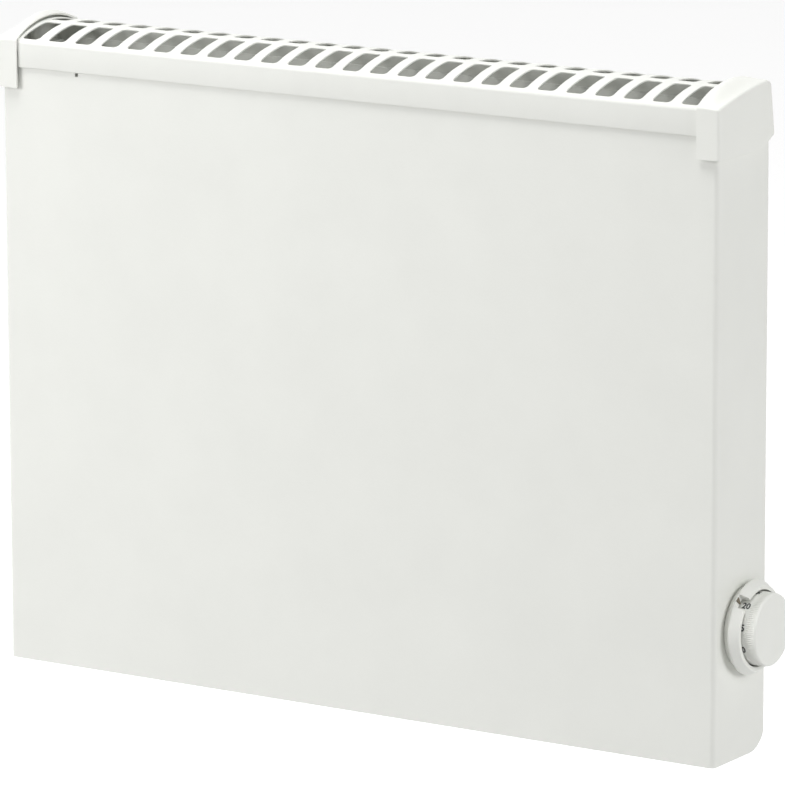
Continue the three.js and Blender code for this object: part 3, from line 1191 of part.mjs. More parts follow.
put('wall_bracket', wallBracket(), GALVANISED);
for (const [x, label] of [[-ARM_X, 'left'], [ARM_X, 'right']]) {
  put(`catch_${label}`, catchPiece(x), MOULDED_WHITE);
  put(`catch_spring_${label}`, catchSpring(x), STEEL);
}

function putScrews(name, turn, places) {
  places.forEach((place, i) =>
    put(`${name}_screw_${i + 1}`, screw(SCREW_LENGTHS[name], turn, ...place), STEEL));
}

const rearSeat = CASING_DEPTH + FIT;
const panelSeat = BACK_Y + FIT;
putScrews('back', FORWARD, backScrewPlaces().map(([x, z]) => [x, rearSeat, z]));
putScrews('duct', FORWARD, ductScrewPlaces().map(([x, z]) => [x, panelSeat, z]));
putScrews('grille', FORWARD, GRILLE_SCREW_X.map((x) => [x, rearSeat, grilleScrewZ()]));
putScrews('under', UPWARD, UNDER_SCREW_X.map((x) => [x, UNDER_SCREW_Y, -FIT]));
putScrews('cap', UPWARD, [-1, 1].map((side) =>
  [side * CAP_BOSS_X, CAP_BOSS_Y, CASING_HEIGHT - SHEET - FIT]));
putScrews('bezel', RIGHTWARD, [-1, 1].map((s) =>
  [HALF - SHEET - FIT, KNOB_AXIS[0], KNOB_AXIS[1] + s * BEZEL_SCREW_OFFSET]));
putScrews('block', FORWARD, [blockScrewPlace()].map(([x, z]) => [x, panelSeat, z]));
putScrews('earth', FORWARD, [[EARTH_AT[0], panelSeat, EARTH_AT[1]]]);

export default heater;
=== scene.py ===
"""Looks of the wall panel convector heater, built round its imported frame.

Lengths are in millimetres in the casing's own frame: x runs along the panel from its
middle, y runs back from the front face and z runs up from the bottom edge.
placed() turns them into the row frame's metres.
"""

import json
import math

import bmesh
import bpy
import numpy as np
from mathutils import Matrix, Vector


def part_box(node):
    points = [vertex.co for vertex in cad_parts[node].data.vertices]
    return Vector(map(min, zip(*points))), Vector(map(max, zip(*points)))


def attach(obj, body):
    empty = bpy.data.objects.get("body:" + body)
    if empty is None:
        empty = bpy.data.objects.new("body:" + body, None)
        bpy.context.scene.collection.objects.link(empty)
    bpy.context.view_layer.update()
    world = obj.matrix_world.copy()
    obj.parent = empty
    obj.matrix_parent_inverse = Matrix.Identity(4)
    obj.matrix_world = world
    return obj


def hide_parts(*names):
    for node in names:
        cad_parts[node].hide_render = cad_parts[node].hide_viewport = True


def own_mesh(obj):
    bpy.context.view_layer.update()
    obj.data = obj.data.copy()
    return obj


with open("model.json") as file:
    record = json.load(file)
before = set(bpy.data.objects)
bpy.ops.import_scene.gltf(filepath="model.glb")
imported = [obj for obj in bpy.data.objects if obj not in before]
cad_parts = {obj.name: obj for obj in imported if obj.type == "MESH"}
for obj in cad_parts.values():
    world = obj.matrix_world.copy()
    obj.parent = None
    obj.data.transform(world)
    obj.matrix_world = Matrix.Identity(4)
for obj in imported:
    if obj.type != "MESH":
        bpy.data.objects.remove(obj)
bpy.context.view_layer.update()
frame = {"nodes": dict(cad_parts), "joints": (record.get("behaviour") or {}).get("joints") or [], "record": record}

MM = 0.001
CASING_LOW, CASING_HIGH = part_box("casing")
ORIGIN = np.array(((CASING_LOW.x + CASING_HIGH.x) / 2, CASING_LOW.y, CASING_LOW.z))


def box_mm(node):
    """Lowest and highest corner of a CAD node in the casing's own frame."""
    low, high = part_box(node)
    return (np.array(low) - ORIGIN) / MM, (np.array(high) - ORIGIN) / MM


HALF, DEPTH, HEIGHT = box_mm("casing")[1]
HALF_TURN = math.pi
BODY = "heater"

# ---------------------------------------------------------------- sizes, in millimetres
FIT = 0.3
SHEET = 1.0
GRILLE_LOW, GRILLE_HIGH = box_mm("top_grille")
GRILLE_HALF = GRILLE_HIGH[0]
LIP_Y = GRILLE_LOW[1]
REAR_BOTTOM = GRILLE_LOW[2]
LIP_BOTTOM = 348.0
ARCH_RADIUS = 67.7
ARCH_Y, ARCH_Z = 32.0, 304.296
GRILLE_BEND = 2.6
SLOT_COUNT = 25
SLOT_PITCH = 18.06
SLOT_SHIFT = 1.3
SLOT_HALF = (5.7, 11.65)
SLOT_SLANT = 0.9
SLOT_CORNER = 2.4
SLOT_ROWS = (-17.3, 6.7)
CELL_HALF = 12.65
SLOT_EDGE = 0.35
BURR_EDGE = 0.15

CAP_LOW, CAP_HIGH = box_mm("end_cap_right")
CAP_IN, CAP_OUT = CAP_LOW[0], CAP_HIGH[0]
CAP_FRONT, CAP_REAR = CAP_LOW[1], CAP_HIGH[1]
CAP_BOTTOM = CAP_LOW[2]
CAP_WALL = 1.2
CAP_TIP = CAP_BOTTOM + 6.5
CAP_PROUD = (0.8, 2.6)
CAP_CROWN_RISE = 9.0
CAP_CROWN_FALL = 2.2
CAP_CROWN_POWER = 1.5
CAP_CROWN_BACK = 8.5
CAP_NOSE_RUN = 4.0
CAP_REAR_LEAN = 4.2
CAP_SWEEP = 17.5
CAP_EDGE = 1.4
CAP_CORNER = 1.6
CAP_SHOULDER = 5.0
CAP_BOSS_RADIUS = 3.0
CAP_BOSS_DROP = 2.2
CAP_BOSS_BORE = 1.3
CAP_BOSS_DEPTH = 9.0
CAP_BOSS_Y = 28.0
CAP_BOSS_INSET = 4.0

KNOB_LOW, KNOB_HIGH = box_mm("thermostat_knob")
KNOB_Y, KNOB_Z = (KNOB_LOW[1:] + KNOB_HIGH[1:]) / 2
KNOB_RADIUS = 20.3
KNOB_REACH = KNOB_HIGH[0] - HALF
COLLAR_RADIUS = 26.5
COLLAR_REACH = 10.2
COLLAR_BORE = 21.3
COLLAR_HOLE = 11.0
COLLAR_FLOOR = 2.0
COLLAR_FOOT = 22.8  # radius on the casing
COLLAR_RIM = 23.6
COLLAR_WAIST = 4.9  # height of the widest radius
COLLAR_FLARE = 0.4
COLLAR_SWELL = 0.35
POINTER_ANGLE = 48.3


def placed(points):
    return np.asarray(points, float) * MM + ORIGIN


# ---------------------------------------------------------------- camera
CAMERA_AT = (1939.7, -2980.2, 937.4)
CAMERA_YAW = 32.669
CAMERA_PITCH = 11.977
CAMERA_ROLL = -0.173
CAMERA_LENS = 299.1


def make_camera():
    yaw, pitch, roll = (math.radians(a) for a in (CAMERA_YAW, CAMERA_PITCH, CAMERA_ROLL))
    ahead = Vector((-math.sin(yaw) * math.cos(pitch), math.cos(yaw) * math.cos(pitch),
                    -math.sin(pitch)))
    right = Vector((math.cos(yaw), math.sin(yaw), 0))
    up = right.cross(ahead)
    turned_right = right * math.cos(roll) + up * math.sin(roll)
    turned_up = up * math.cos(roll) - right * math.sin(roll)
    data = bpy.data.cameras.new("camera")
    data.lens = CAMERA_LENS
    data.sensor_width = 36
    data.clip_start, data.clip_end = 0.1, 40
    camera = bpy.data.objects.new("camera", data)
    bpy.context.scene.collection.objects.link(camera)
    turn = Matrix((turned_right, turned_up, -ahead)).transposed().to_4x4()
    camera.matrix_world = Matrix.Translation(Vector(placed(CAMERA_AT))) @ turn
    bpy.context.scene.camera = camera


# ---------------------------------------------------------------- light and floor
FLOOR_Z = -0.42
FLOOR_HALF = 12.0
FLOOR_COLOR = (0.6, 0.6, 0.6)
FLOOR_SEEN = (0.75, 0.75, 0.75)
SKY_SEEN = (1, 1, 1)
SKY_LIGHT = (0.16, 0.16, 0.16)
LAMP_TARGET = (0, -0.03, 0)
LAMPS = {  # place and size in metres, power in watts
    "key_left": ((-1.5, -1.6, 0.65), 1.0, 25.5),
    "fill_right": ((2.5, -0.2, 0.8), 1.3, 31),
    "top": ((-0.3, -0.75, 2.6), 1.3, 54),
}


def aimed(location, target):
    ray = Vector(target) - Vector(location)
    return ray.to_track_quat("-Z", "Y").to_matrix().to_4x4()


def soft_lamp(name, location, size, watts):
    data = bpy.data.lights.new(name, "AREA")
    data.shape = "SQUARE"
    data.size = size
    data.energy = watts
    lamp = bpy.data.objects.new(name, data)
    bpy.context.scene.collection.objects.link(lamp)
    lamp.matrix_world = Matrix.Translation(Vector(location)) @ aimed(location, LAMP_TARGET)


def seen_or_lit(tree, seen, lit):
    """A strength or colour that differs for what the eye or a reflection sees."""
    path = tree.nodes.new("ShaderNodeLightPath")
    first = tree.nodes.new("ShaderNodeMath")
    first.operation = "MAXIMUM"
    both = tree.nodes.new("ShaderNodeMath")
    both.operation = "MAXIMUM"
    tree.links.new(path.outputs["Is Camera Ray"], first.inputs[0])
    tree.links.new(path.outputs["Is Glossy Ray"], first.inputs[1])
    tree.links.new(first.outputs[0], both.inputs[0])
    tree.links.new(path.outputs["Is Transmission Ray"], both.inputs[1])
    mix = tree.nodes.new("ShaderNodeMix")
    mix.data_type = "RGBA"
    tree.links.new(both.outputs[0], mix.inputs["Factor"])
    mix.inputs["A"].default_value = (*lit, 1)
    mix.inputs["B"].default_value = (*seen, 1)
    return mix.outputs["Result"]


def make_world():
    world = bpy.data.worlds.new("studio")
    world.use_nodes = True
    bpy.context.scene.world = world
    tree = world.node_tree
    background = tree.nodes["Background"]
    tree.links.new(seen_or_lit(tree, SKY_SEEN, SKY_LIGHT), background.inputs["Color"])


def make_floor():
    """A pale floor that looks white from the camera and keeps a faint shadow."""
    mesh = bpy.data.meshes.new("floor")
    h = FLOOR_HALF
    mesh.from_pydata([(-h, -h, FLOOR_Z), (h, -h, FLOOR_Z), (h, h, FLOOR_Z), (-h, h, FLOOR_Z)],
                     [], [(0, 1, 2, 3)])
    floor = bpy.data.objects.new("floor", mesh)
    bpy.context.scene.collection.objects.link(floor)
    material = bpy.data.materials.new("floor_white")
    material.use_nodes = True
    tree = material.node_tree
    shader = tree.nodes["Principled BSDF"]
    shader.inputs["Base Color"].default_value = (*FLOOR_COLOR, 1)
    shader.inputs["Roughness"].default_value = 0.9
    glow = seen_or_lit(tree, FLOOR_SEEN, (0, 0, 0))
    tree.links.new(glow, shader.inputs["Emission Color"])
    shader.inputs["Emission Strength"].default_value = 1
    mesh.materials.append(material)


def make_lights():
    for name, (location, size, watts) in LAMPS.items():
        soft_lamp(name, location, size, watts)


# ---------------------------------------------------------------- materials
WHITE = (0.842, 0.850, 0.808)
MOULDED = (0.860, 0.868, 0.825)
ZINC = (0.84, 0.86, 0.81)
ZINC_METALLIC = 0.3


def noise(tree, scale, detail=2.0, rough=0.5, stretch=None):
    coords = tree.nodes.new("ShaderNodeTexCoord")
    node = tree.nodes.new("ShaderNodeTexNoise")
    node.inputs["Scale"].default_value = scale
    node.inputs["Detail"].default_value = detail
    node.inputs["Roughness"].default_value = rough
    source = coords.outputs["Object"]
    if stretch:
        mapping = tree.nodes.new("ShaderNodeMapping")
        mapping.inputs["Scale"].default_value = stretch
        tree.links.new(source, mapping.inputs["Vector"])
        source = mapping.outputs["Vector"]
    tree.links.new(source, node.inputs["Vector"])
    return node.outputs["Fac"]


def spread(tree, value, low, high, centre=0.18):
    """The middle of a noise stretched over the span from low to high."""
    node = tree.nodes.new("ShaderNodeMapRange")
    node.inputs["From Min"].default_value = 0.5 - centre
    node.inputs["From Max"].default_value = 0.5 + centre
    node.inputs["To Min"].default_value = low
    node.inputs["To Max"].default_value = high
    tree.links.new(value, node.inputs["Value"])
    return node.outputs["Result"]


def tinted(tree, value, first, second):
    node = tree.nodes.new("ShaderNodeMix")
    node.data_type = "RGBA"
    node.inputs["A"].default_value = (*first, 1)
    node.inputs["B"].default_value = (*second, 1)
    tree.links.new(value, node.inputs["Factor"])
    return node.outputs["Result"]


def bumped(tree, value, height, below=None):
    node = tree.nodes.new("ShaderNodeBump")
    node.inputs["Strength"].default_value = 1.0
    node.inputs["Distance"].default_value = height
    tree.links.new(value, node.inputs["Height"])
    if below is not None:
        tree.links.new(below, node.inputs["Normal"])
    return node.outputs["Normal"]


def new_material(name, metallic=0.0):
    material = bpy.data.materials.new(name)
    material.use_nodes = True
    shader = material.node_tree.nodes["Principled BSDF"]
    shader.inputs["Metallic"].default_value = metallic
    return material, material.node_tree, shader


def shades(color, share):
    """Two colours a little below and above a colour."""
    return [tuple(min(1.0, c * k) for c in color) for k in (1 - share, 1 + share)]


def coated(name, color, rough, peel_scale, peel_height, drift=0.012):
    """Powder coat or fine moulded plastic: faint drift of tone, soft orange peel."""
    material, tree, shader = new_material(name)
    tone = spread(tree, noise(tree, 22, 3), 0, 1)
    tree.links.new(tinted(tree, tone, *shades(color, drift)), shader.inputs["Base Color"])
    gloss = spread(tree, noise(tree, 160, 2), rough - 0.04, rough + 0.04)
    tree.links.new(gloss, shader.inputs["Roughness"])
    coarse = bumped(tree, noise(tree, peel_scale, 2, 0.45), peel_height)
    fine = bumped(tree, noise(tree, peel_scale * 3.2, 2), peel_height * 0.35, coarse)
    tree.links.new(fine, shader.inputs["Normal"])
    shader.inputs["Specular IOR Level"].default_value = 0.42
    return material


def zinc_sheet(name, color):
    """Zinc-coated sheet with its spangle of flat crystals."""
    material, tree, shader = new_material(name, ZINC_METALLIC)
    coords = tree.nodes.new("ShaderNodeTexCoord")
    cells = tree.nodes.new("ShaderNodeTexVoronoi")
    cells.inputs["Scale"].default_value = 190
    tree.links.new(coords.outputs["Object"], cells.inputs["Vector"])
    split = tree.nodes.new("ShaderNodeSeparateColor")
    tree.links.new(cells.outputs["Color"], split.inputs["Color"])
    tree.links.new(tinted(tree, split.outputs[0], *shades(color, 0.12)),
                   shader.inputs["Base Color"])
    gloss = tree.nodes.new("ShaderNodeMapRange")
    gloss.inputs["To Min"].default_value = 0.34
    gloss.inputs["To Max"].default_value = 0.52
    tree.links.new(split.outputs[1], gloss.inputs["Value"])
    tree.links.new(gloss.outputs["Result"], shader.inputs["Roughness"])
    tree.links.new(bumped(tree, noise(tree, 700, 3), 0.00001), shader.inputs["Normal"])
    return material


def drawn_metal(name, color, rough, stretch=(1, 1, 1)):
    """Drawn, rolled or extruded metal, with fine lines along one direction."""
    material, tree, shader = new_material(name, 1.0)
    lines = noise(tree, 900, 3, 0.6, stretch)
    tree.links.new(tinted(tree, spread(tree, lines, 0, 1), *shades(color, 0.1)),
                   shader.inputs["Base Color"])
    tree.links.new(spread(tree, lines, rough - 0.07, rough + 0.07), shader.inputs["Roughness"])
    tree.links.new(bumped(tree, lines, 0.000012), shader.inputs["Normal"])
    return material


def matt(name, color, rough, scale, height, share=0.06):
    """Rubber, phenolic moulding, sleeving or ceramic, with a grain of its own."""
    material, tree, shader = new_material(name)
    grain = noise(tree, scale, 4, 0.6)
    tree.links.new(tinted(tree, spread(tree, grain, 0, 1), *shades(color, share)),
                   shader.inputs["Base Color"])
    tree.links.new(spread(tree, grain, rough - 0.06, rough + 0.06), shader.inputs["Roughness"])
    tree.links.new(bumped(tree, grain, height), shader.inputs["Normal"])
    return material


def make_materials():
    return {
        "white_enamel": coated("white_enamel", WHITE, 0.40, 620, 0.000045),
        "white_moulding": coated("white_moulding", MOULDED, 0.36, 1500, 0.000012, 0.008),
        "galvanised_steel": zinc_sheet("galvanised_steel", ZINC),
        "spring_steel": drawn_metal("spring_steel", (0.42, 0.43, 0.44), 0.28),
        "element_aluminium": drawn_metal("element_aluminium", (0.66, 0.67, 0.68), 0.34,
                                         (0.02, 1, 1)),
        "dark_moulding": matt("dark_moulding", (0.03, 0.028, 0.026), 0.45, 900, 0.00002),
        "brass": drawn_metal("brass", (0.66, 0.46, 0.16), 0.3),
        "ceramic": matt("ceramic", (0.78, 0.74, 0.64), 0.42, 500, 0.00002, 0.03),
        "grommet_rubber": matt("grommet_rubber", (0.09, 0.095, 0.1), 0.72, 1200, 0.00003),
        "lead_sleeve": matt("lead_sleeve", (0.68, 0.64, 0.54), 0.6, 1600, 0.00003),
        "earth_sleeve": matt("earth_sleeve", (0.2, 0.34, 0.05), 0.6, 1600, 0.00003),
        "screw_steel": drawn_metal("screw_steel", (0.5, 0.51, 0.52), 0.3),
        "dial_ink": matt("dial_ink", (0.045, 0.05, 0.05), 0.5, 1500, 0.00001),
        "pointer_tan": matt("pointer_tan", (0.17, 0.145, 0.105), 0.5, 1500, 0.00001),
    }


MATERIALS = make_materials()
SLOT_OF = {row["node"]: row["material_slot"] for row in frame["record"]["subparts"]}


# ---------------------------------------------------------------- pieces
def show(obj, body, slot, replaces=(), material=None):
    """Gives a finished mesh the material of its slot, hangs it on its body and hides the nodes it stands for."""
    obj.data.materials.clear()
    obj.data.materials.append(MATERIALS[material or slot])
    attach(obj, body)
    if replaces:
        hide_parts(*replaces)
    return obj


def mesh_piece(name, points, faces, sharp=38):
    """A closed mesh from points in millimetres, welded, facing out, smooth by angle."""
    mesh = bpy.data.meshes.new(name)
    mesh.from_pydata(placed(points).tolist(), [], faces)
    obj = bpy.data.objects.new(name, mesh)
    bpy.context.scene.collection.objects.link(obj)
    settle(obj, sharp)
    return obj


def settle(obj, sharp=38, weld=2e-6):
    bm = bmesh.new()
    bm.from_mesh(obj.data)
    bmesh.ops.remove_doubles(bm, verts=bm.verts, dist=weld)
    bmesh.ops.recalc_face_normals(bm, faces=bm.faces)
    for face in bm.faces:
        face.smooth = True
    for edge in bm.edges:
        edge.smooth = not (len(edge.link_faces) == 2
                           and edge.calc_face_angle(0) > math.radians(sharp))
    bm.to_mesh(obj.data)
    bm.free()


def soften(obj, width, segments=2, angle=40):
    """Rounds the hard edges of a mesh by a modifier."""
    bevel = obj.modifiers.new("edges", "BEVEL")
    bevel.width = width * MM
    bevel.segments = segments
    bevel.limit_method = "ANGLE"
    bevel.angle_limit = math.radians(angle)
    bevel.harden_normals = False
    weighted = obj.modifiers.new("weighted", "WEIGHTED_NORMAL")
    weighted.keep_sharp = True
    return obj


def finish_node(node, width=0.2, angle=40):
    """A CAD node kept as it is, with softened edges and its slot's material."""
    obj = frame["nodes"][node]
    slot = SLOT_OF[node]
    obj.data.materials.clear()
    obj.data.materials.append(MATERIALS[slot])
    weld = obj.modifiers.new("weld", "WELD")
    weld.merge_threshold = 1e-6
    flat = obj.modifiers.new("flat", "DECIMATE")
    flat.decimate_type = "DISSOLVE"
    flat.angle_limit = math.radians(0.4)
    obj.data.polygons.foreach_set("use_smooth", [True] * len(obj.data.polygons))
    clear_normals(obj.data)
    soften(obj, width, 2, angle)
    return obj


def clear_normals(mesh):
    custom = mesh.attributes.get("custom_normal")
    if custom:
        mesh.attributes.remove(custom)


def cyclic(n):
    return [(i, (i + 1) % n) for i in range(n)]


# ---------------------------------------------------------------- top grille
def arch_point(x, angle, depth=0.0):
    r = ARCH_RADIUS - depth
    return (x, ARCH_Y + r * math.sin(angle), ARCH_Z + r * math.cos(angle))


def along(low, high, n):
    return [low + (high - low) * i / n for i in range(n + 1)]


def slot_steps():
    """Places across half a cell, closer together where the slot's corner is."""
    corner = [0.60, 0.70, 0.80, 0.90, 1.0]
    return [-c for c in reversed(corner)] + [-0.2, 0.2] + corner


def row_steps():
    corner = [0.80, 0.85, 0.90, 0.95, 1.0]
    middle = along(-0.8, 0.8, 8)[1:-1]
    return [-c for c in reversed(corner)] + middle + corner


def bend_points(y_centre, z_centre, first, last, n=8):
    """Rows of a section round one of the strip's bends."""
    r = GRILLE_BEND
    return [(y_centre + r * math.sin(a), z_centre + r * math.cos(a), math.sin(a), math.cos(a))
            for a in along(first, last, n)]


def grille_section():
    """Outer face of the bent strip as (y, z, normal y, normal z), lip first, with the
    places where the rows of slots start and end."""
    start = math.asin((LIP_Y - ARCH_Y) / ARCH_RADIUS)
    end = math.asin((DEPTH - ARCH_Y) / ARCH_RADIUS)
    r = GRILLE_BEND
    front_turn = HALF_TURN / 2 + start
    front_reach = r * math.tan(front_turn / 2)
    z_front = ARCH_Z + ARCH_RADIUS * math.cos(start) - front_reach
    section = [(LIP_Y, z, -1.0, 0.0) for z in (LIP_BOTTOM + SLOT_EDGE, HEIGHT, z_front - 0.4)]
    section += bend_points(LIP_Y + r, z_front, -HALF_TURN / 2, start)
    rows = []
    for centre in SLOT_ROWS:
        middle = math.radians(centre)
        reach = CELL_HALF / ARCH_RADIUS
        rows.append((len(section), middle))
        for b in row_steps():
            a = middle + b * reach
            section.append((*arch_point(0, a)[1:], math.sin(a), math.cos(a)))
    rear_turn = HALF_TURN / 2 - end
    rear_reach = r * math.tan(rear_turn / 2)
    z_rear = ARCH_Z + ARCH_RADIUS * math.cos(end) - rear_reach
    last = end - rear_reach / ARCH_RADIUS
    for a in along(math.radians(SLOT_ROWS[1]) + CELL_HALF / ARCH_RADIUS, last, 2)[1:]:
        section.append((*arch_point(0, a)[1:], math.sin(a), math.cos(a)))
    section += bend_points(DEPTH - r, z_rear, end, HALF_TURN / 2)
    section.append((DEPTH, REAR_BOTTOM + SLOT_EDGE, 1.0, 0.0))
    return section, rows


EDGE_POINTS = 8


def edge_round(outer, inner):
    """Rounded sheet edge between the outer and inner ends of a section, seen from below."""
    (y0, z0), (y1, z1) = outer, inner
    side = 1 if y1 > y0 else -1
    r = SLOT_EDGE
    points = []
    for t in along(0, HALF_TURN / 2, EDGE_POINTS // 2)[1:]:
        points.append((y0 + side * r * (1 - math.cos(t)), z0 - r * math.sin(t)))
    mirror = [(y0 + y1 - y, z) for y, z in reversed(points)]
    return points + mirror


def slot_outline(a, b, grow):
    """Point on a slot's rounded outline for a place on the edge of a square."""
    w, l, r = SLOT_HALF[0] + grow, SLOT_HALF[1] + grow, SLOT_CORNER + grow
    x, y = a * w, b * l
    cx, cy = math.copysign(w - r, x), math.copysign(l - r, y)
    if abs(x) > w - r and abs(y) > l - r:
        dx, dy = x - cx, y - cy
        k = r / math.hypot(dx, dy)
        x, y = cx + dx * k, cy + dy * k
    return x + SLOT_SLANT * y / SLOT_HALF[1], y


def slot_rings():
    """(growth of the outline, depth below the outer face) down through the sheet."""
    rings = [(0.85, 0.0), (SLOT_EDGE + 0.1, 0.0)]
    for a in (0, 22.5, 45, 67.5, 90):
        t = math.radians(a)
        rings.append((SLOT_EDGE * (1 - math.sin(t)), SLOT_EDGE * (1 - math.cos(t))))
    for a in (0, 45, 90):
        t = math.radians(a)
        rings.append((BURR_EDGE * (1 - math.cos(t)), SHEET - BURR_EDGE * (1 - math.sin(t))))
    rings.append((0.7, SHEET))
    return rings


def grille_columns():
    """All places along x, and the first and last column of each slot's cell."""
    centres = [SLOT_SHIFT + (i - (SLOT_COUNT - 1) / 2) * SLOT_PITCH for i in range(SLOT_COUNT)]
    lip_end = CAP_IN - FIT
    columns, cells = [-GRILLE_HALF, -lip_end], []
    for i, centre in enumerate(centres):
        low = columns[-1] if i == 0 else centre - SLOT_PITCH / 2
        high = GRILLE_HALF - 0.8 if i == SLOT_COUNT - 1 else centre + SLOT_PITCH / 2
        first = len(columns) - 1
        for a in slot_steps()[1:]:
            columns.append(centre + a * (high - centre if a > 0 else centre - low))
        if i == SLOT_COUNT - 1:
            columns.append(lip_end)
            columns.sort()
        cells.append((first, len(columns) - 1, centre, low, high))
    columns.append(GRILLE_HALF)
    return columns, cells


def top_grille():
    section, rows = grille_section()
    columns, cells = grille_columns()
    n = len(section)
    outer = [(y, z) for y, z, _, _ in section]
    inner = [(y - SHEET * ny, z - SHEET * nz) for y, z, ny, nz in section]
    loop = outer + edge_round(outer[-1], inner[-1]) + inner[::-1]
    loop += edge_round(inner[0], outer[0])
    size = len(loop)
    points = [(x, y, z) for x in columns for y, z in loop]
    faces = []
    inner_at = size - EDGE_POINTS - 1  # loop place of the inner lip end
    lip_end = CAP_IN - FIT

    def at(column, place):
        return column * size + place % size

    def mirror(place):
        return inner_at - place

    lip_top = 1
    lip_places = set(range(0, lip_top)) | set(range(mirror(lip_top), size))
    open_places = slot_places(cells, rows, mirror)
    for column in range(len(columns) - 1):
        beyond = abs((columns[column] + columns[column + 1]) / 2) > lip_end
        for place in range(size):
            if place in open_places.get(column, ()) or (beyond and place in lip_places):
                continue
            faces.append((at(column, place), at(column + 1, place),
                          at(column + 1, place + 1), at(column, place + 1)))
    close_ends(faces, columns, at, mirror, n, size, lip_top, lip_end)
    for cell in cells:
        for start, middle in rows:
            pierce(points, faces, cell, start, middle, at, mirror, columns)
    grille = mesh_piece("top_grille_fine", points, faces)
    return show(grille, BODY, SLOT_OF["top_grille"], ["top_grille"])


def slot_places(cells, rows, mirror):
    """Loop places that the slots' cells leave open, for each column."""
    taken = {}
    for first, last, *_ in cells:
        for start, _ in rows:
            for column in range(first, last):
                places = taken.setdefault(column, set())
                for k in range(start, start + len(row_steps()) - 1):
                    places.update((k, mirror(k + 1)))
    return taken


def close_ends(faces, columns, at, mirror, n, size, lip_top, lip_end):
    """Fills the strip's ends, and the lip's shorter ends under the caps."""
    places = {abs(x): i for i, x in enumerate(columns) if x < 0}
    for side in (-1, 1):
        end = 0 if side < 0 else len(columns) - 1
        lip = min(range(len(columns)), key=lambda i: abs(columns[i] - side * lip_end))
        for k in range(lip_top, n - 1):
            faces.append((at(end, k), at(end, k + 1), at(end, mirror(k + 1)), at(end, mirror(k))))
        rear = list(range(n - 1, mirror(n - 1) + 1))
        faces.append([at(end, k) for k in rear])
        for k in range(0, lip_top):
            faces.append((at(lip, k), at(lip, k + 1), at(lip, mirror(k + 1)), at(lip, mirror(k))))
        faces.append([at(lip, k) for k in range(mirror(0), size)] + [at(lip, 0)])
        low, high = sorted((end, lip))
        for column in range(low, high):
            faces.append((at(column, lip_top), at(column + 1, lip_top),
                          at(column + 1, mirror(lip_top)), at(column, mirror(lip_top))))


def pierce(points, faces, cell, start, middle, at, mirror, columns):
    """One slot with a rounded edge, between the grid's border on both faces."""
    first, last, centre, low, high = cell
    steps = row_steps()
    top = start + len(steps) - 1

    def across(column):
        x = columns[column]
        return (x - centre) / (high - centre if x > centre else centre - low)

    border = [(c, start, across(c), -1) for c in range(first, last)]
    border += [(last, start + k, 1, steps[k]) for k in range(len(steps) - 1)]
    border += [(c, top, across(c), 1) for c in range(last, first, -1)]
    border += [(first, start + k, -1, steps[k]) for k in range(len(steps) - 1, 0, -1)]
    rings = [[at(c, k) for c, k, _, _ in border]]
    for grow, depth in slot_rings():
        ring = []
        for _, _, a, b in border:
            x, s = slot_outline(a, b, grow)
            ring.append(len(points))
            points.append(arch_point(centre + x, middle + s / ARCH_RADIUS, depth))
        rings.append(ring)
    rings.append([at(c, mirror(k)) for c, k, _, _ in border])
    for above, below in zip(rings, rings[1:]):
        for i, j in cyclic(len(border)):
            faces.append((above[i], above[j], below[j], below[i]))


# ---------------------------------------------------------------- end caps
def arch_z(radius, y):
    return ARCH_Z + math.sqrt(radius ** 2 - (y - ARCH_Y) ** 2)


def fillet_path(path, radii, steps=6):
    """Rounds the numbered corners of a path of (y, z) points."""
    made = []
    for i, point in enumerate(path):
        if i not in radii:
            made.append(np.array(point, float))
            continue
        p, q, s = (np.array(path[j], float) for j in (i - 1, i, i + 1))
        a, b = (q - p) / np.linalg.norm(q - p), (s - q) / np.linalg.norm(s - q)
        turn = math.atan2(a[0] * b[1] - a[1] * b[0], a @ b)
        reach = radii[i] * math.tan(abs(turn) / 2)
        side = math.copysign(1, turn)
        centre = q - a * reach + side * radii[i] * np.array((-a[1], a[0]))
        spoke = q - a * reach - centre
        for t in along(0, turn, steps):
            made.append(centre + np.array((spoke[0] * math.cos(t) - spoke[1] * math.sin(t),
                                           spoke[0] * math.sin(t) + spoke[1] * math.cos(t))))
    return np.array(made)


def cap_path(crown, rear_top):
    """Path over the cap, from the front's lower edge over the crown to the rear tip."""
    front = arch_z(ARCH_RADIUS + FIT + CAP_WALL, CAP_FRONT)
    path = [(CAP_FRONT, CAP_BOTTOM), (CAP_FRONT, front), *crown, rear_top,
            (CAP_REAR, CAP_TIP)]
    rear = len(path) - 2
    return fillet_path(path, {1: CAP_CORNER, rear - 1: CAP_SHOULDER, rear: CAP_CORNER})


def crown_steps(n=28):
    return along(CAP_FRONT + CAP_NOSE_RUN, CAP_REAR - CAP_CROWN_BACK, n)


def cap_over_grille(proud):
    """The crown as an arc of its own, a little above the grille's arch."""
    arch = ARCH_RADIUS + FIT + CAP_WALL
    front = arch_z(arch, CAP_FRONT)
    half = ARCH_Y - CAP_FRONT
    rise = ARCH_Z + arch + proud - front
    radius = (half ** 2 + rise ** 2) / (2 * rise)

    def height(y):
        return front + rise - radius + math.sqrt(radius ** 2 - (y - ARCH_Y) ** 2)

    return cap_path([(y, height(y)) for y in crown_steps()], (CAP_REAR, height(CAP_REAR)))


def cap_at_side():
    """The flatter crown of the outer side, with its tighter rear corner."""
    front = arch_z(ARCH_RADIUS + FIT + CAP_WALL, CAP_FRONT)
    length = CAP_REAR - CAP_CROWN_BACK - CAP_FRONT
    top = front + CAP_CROWN_RISE

    def height(y):
        return top - CAP_CROWN_RISE * (1 - (y - CAP_FRONT) / length) ** CAP_CROWN_POWER

    rear = (CAP_REAR - CAP_REAR_LEAN, top - CAP_CROWN_FALL)
    return cap_path([(y, height(y)) for y in crown_steps()], rear)


